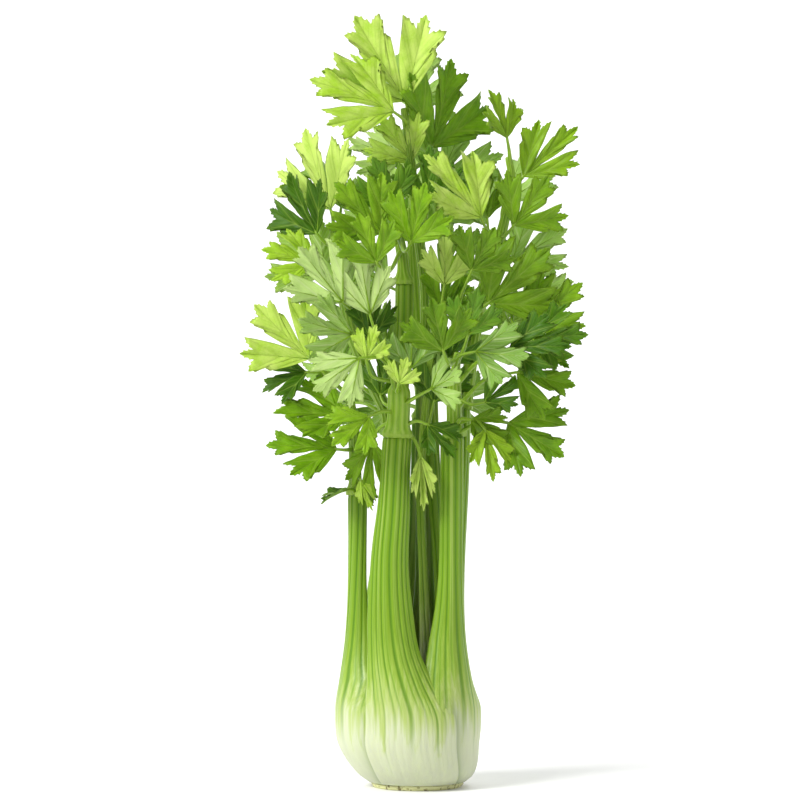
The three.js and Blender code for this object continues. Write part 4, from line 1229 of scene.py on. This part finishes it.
def midribs(stems, leaf, seed):
    base, along, across, face, length = leaf_axes(leaf)
    top, under = bend_leaf(leaf, seed)
    for lobe, tip_index in zip(LOBES, MAIN_TIPS):
        tip = np.array(lobe[tip_index])
        shares = np.linspace(MIDRIB_START, MIDRIB_END, MIDRIB_RINGS)
        nearest = [np.argmin(np.linalg.norm(pattern.flat - tip * s, axis=1)) for s in shares]
        centres = [(under[i] + top[i]) / 2 - MIDRIB_DROP * face for i in nearest]
        alongs = [unit(b - a) for a, b in zip(centres, centres[1:])]
        alongs.append(alongs[-1])
        radii = [mix(*MIDRIB_RADII, s / MIDRIB_END) for s in shares]
        stems.add(*tube(centres, alongs, np.cross(alongs[0], face), radii, radii, MIDRIB_SIDES))


for order, (name, frond) in enumerate(FRONDS.items()):
    stems = Stems()
    line = frond_line(name)
    leafstalk(stems, name, line)
    for i, leaf in enumerate(frond["leaves"]):
        small_stem(stems, leaf, line)
        midribs(stems, leaf, LEAF_SEEDS * order + i)
    piece = piece_from(
        f"{name}_leafstalk", np.concatenate(stems.points), stems.faces,
        stored={"rib": np.concatenate(stems.rib)}, materials=[leafstalk_skin],
    )
    stand_for(piece, f"{name}_frond")

# %% [markdown]
# The head was photographed on white. A white floor curves up into a white wall, so no horizon shows from the
# front.

# %% Lay the floor
FLOOR_HALF_WIDTH = 12000
FLOOR_FRONT = -12000
SWEEP_START = 4000
SWEEP_RADIUS = 1500
WALL_TOP = 8000
SWEEP_ROWS = 24
FLOOR_WHITE = (0.95, 0.95, 0.95, 1)
sweep_turns = np.linspace(0, math.pi / 2, SWEEP_ROWS)
profile = [(FLOOR_FRONT, 0.0)]
for turn in sweep_turns:
    profile.append((SWEEP_START + SWEEP_RADIUS * math.sin(turn), SWEEP_RADIUS * (1 - math.cos(turn))))
profile.append((SWEEP_START + SWEEP_RADIUS, WALL_TOP))
sweep_points = [(x, y, z) for x in (-FLOOR_HALF_WIDTH, FLOOR_HALF_WIDTH) for y, z in profile]
rows = len(profile)
sweep_faces = [(i, rows + i, rows + i + 1, i + 1) for i in range(rows - 1)]
floor_material = Recipe("floor_white")
floor_material.set(Base_Color=FLOOR_WHITE, Roughness=0.9)
floor = piece_from("floor", sweep_points, sweep_faces, materials=[floor_material.material])
print("floor is", 2 * FLOOR_HALF_WIDTH / 1000, "m wide")

# %% [markdown]
# The light is soft and comes mostly from the front left. A wide sun is the main light, a paler world fills
# the shadows, a lamp behind shines through the leaves, and a weak one lifts the right side.

# %% Set the light
WORLD_LIGHT = 0.5
SUN_POWER = 3.2
SUN_SPREAD = math.radians(28)
SUN_FROM = (-0.8, -0.66, 0.74)
LAMPS = {"behind": ((0.6, 1.0, 1.1), 0.9, 7), "right": ((1.5, -1.0, 0.5), 1.2, 2)}


def add_light(name, kind, power, shines_from):
    light = bpy.data.objects.new(name, bpy.data.lights.new(name, kind))
    light.data.energy = power
    light.rotation_euler = Vector(shines_from).to_track_quat("Z", "Y").to_euler()
    bpy.context.collection.objects.link(light)
    return light


world = bpy.data.worlds.new("white_room")
world.use_nodes = True
world.node_tree.nodes["Background"].inputs["Color"].default_value = (1, 1, 1, 1)
world.node_tree.nodes["Background"].inputs["Strength"].default_value = WORLD_LIGHT
bpy.context.scene.world = world
bpy.context.scene.view_settings.view_transform = "Standard"
add_light("sun", "SUN", SUN_POWER, SUN_FROM).data.angle = SUN_SPREAD
for name, (place, size, power) in LAMPS.items():
    lamp = add_light(name, "AREA", power, Vector(place) - Vector((VIEW_X, 0, VIEW_Z)))
    lamp.data.size = size
    lamp.location = place
print("one sun and", len(LAMPS), "lamps")
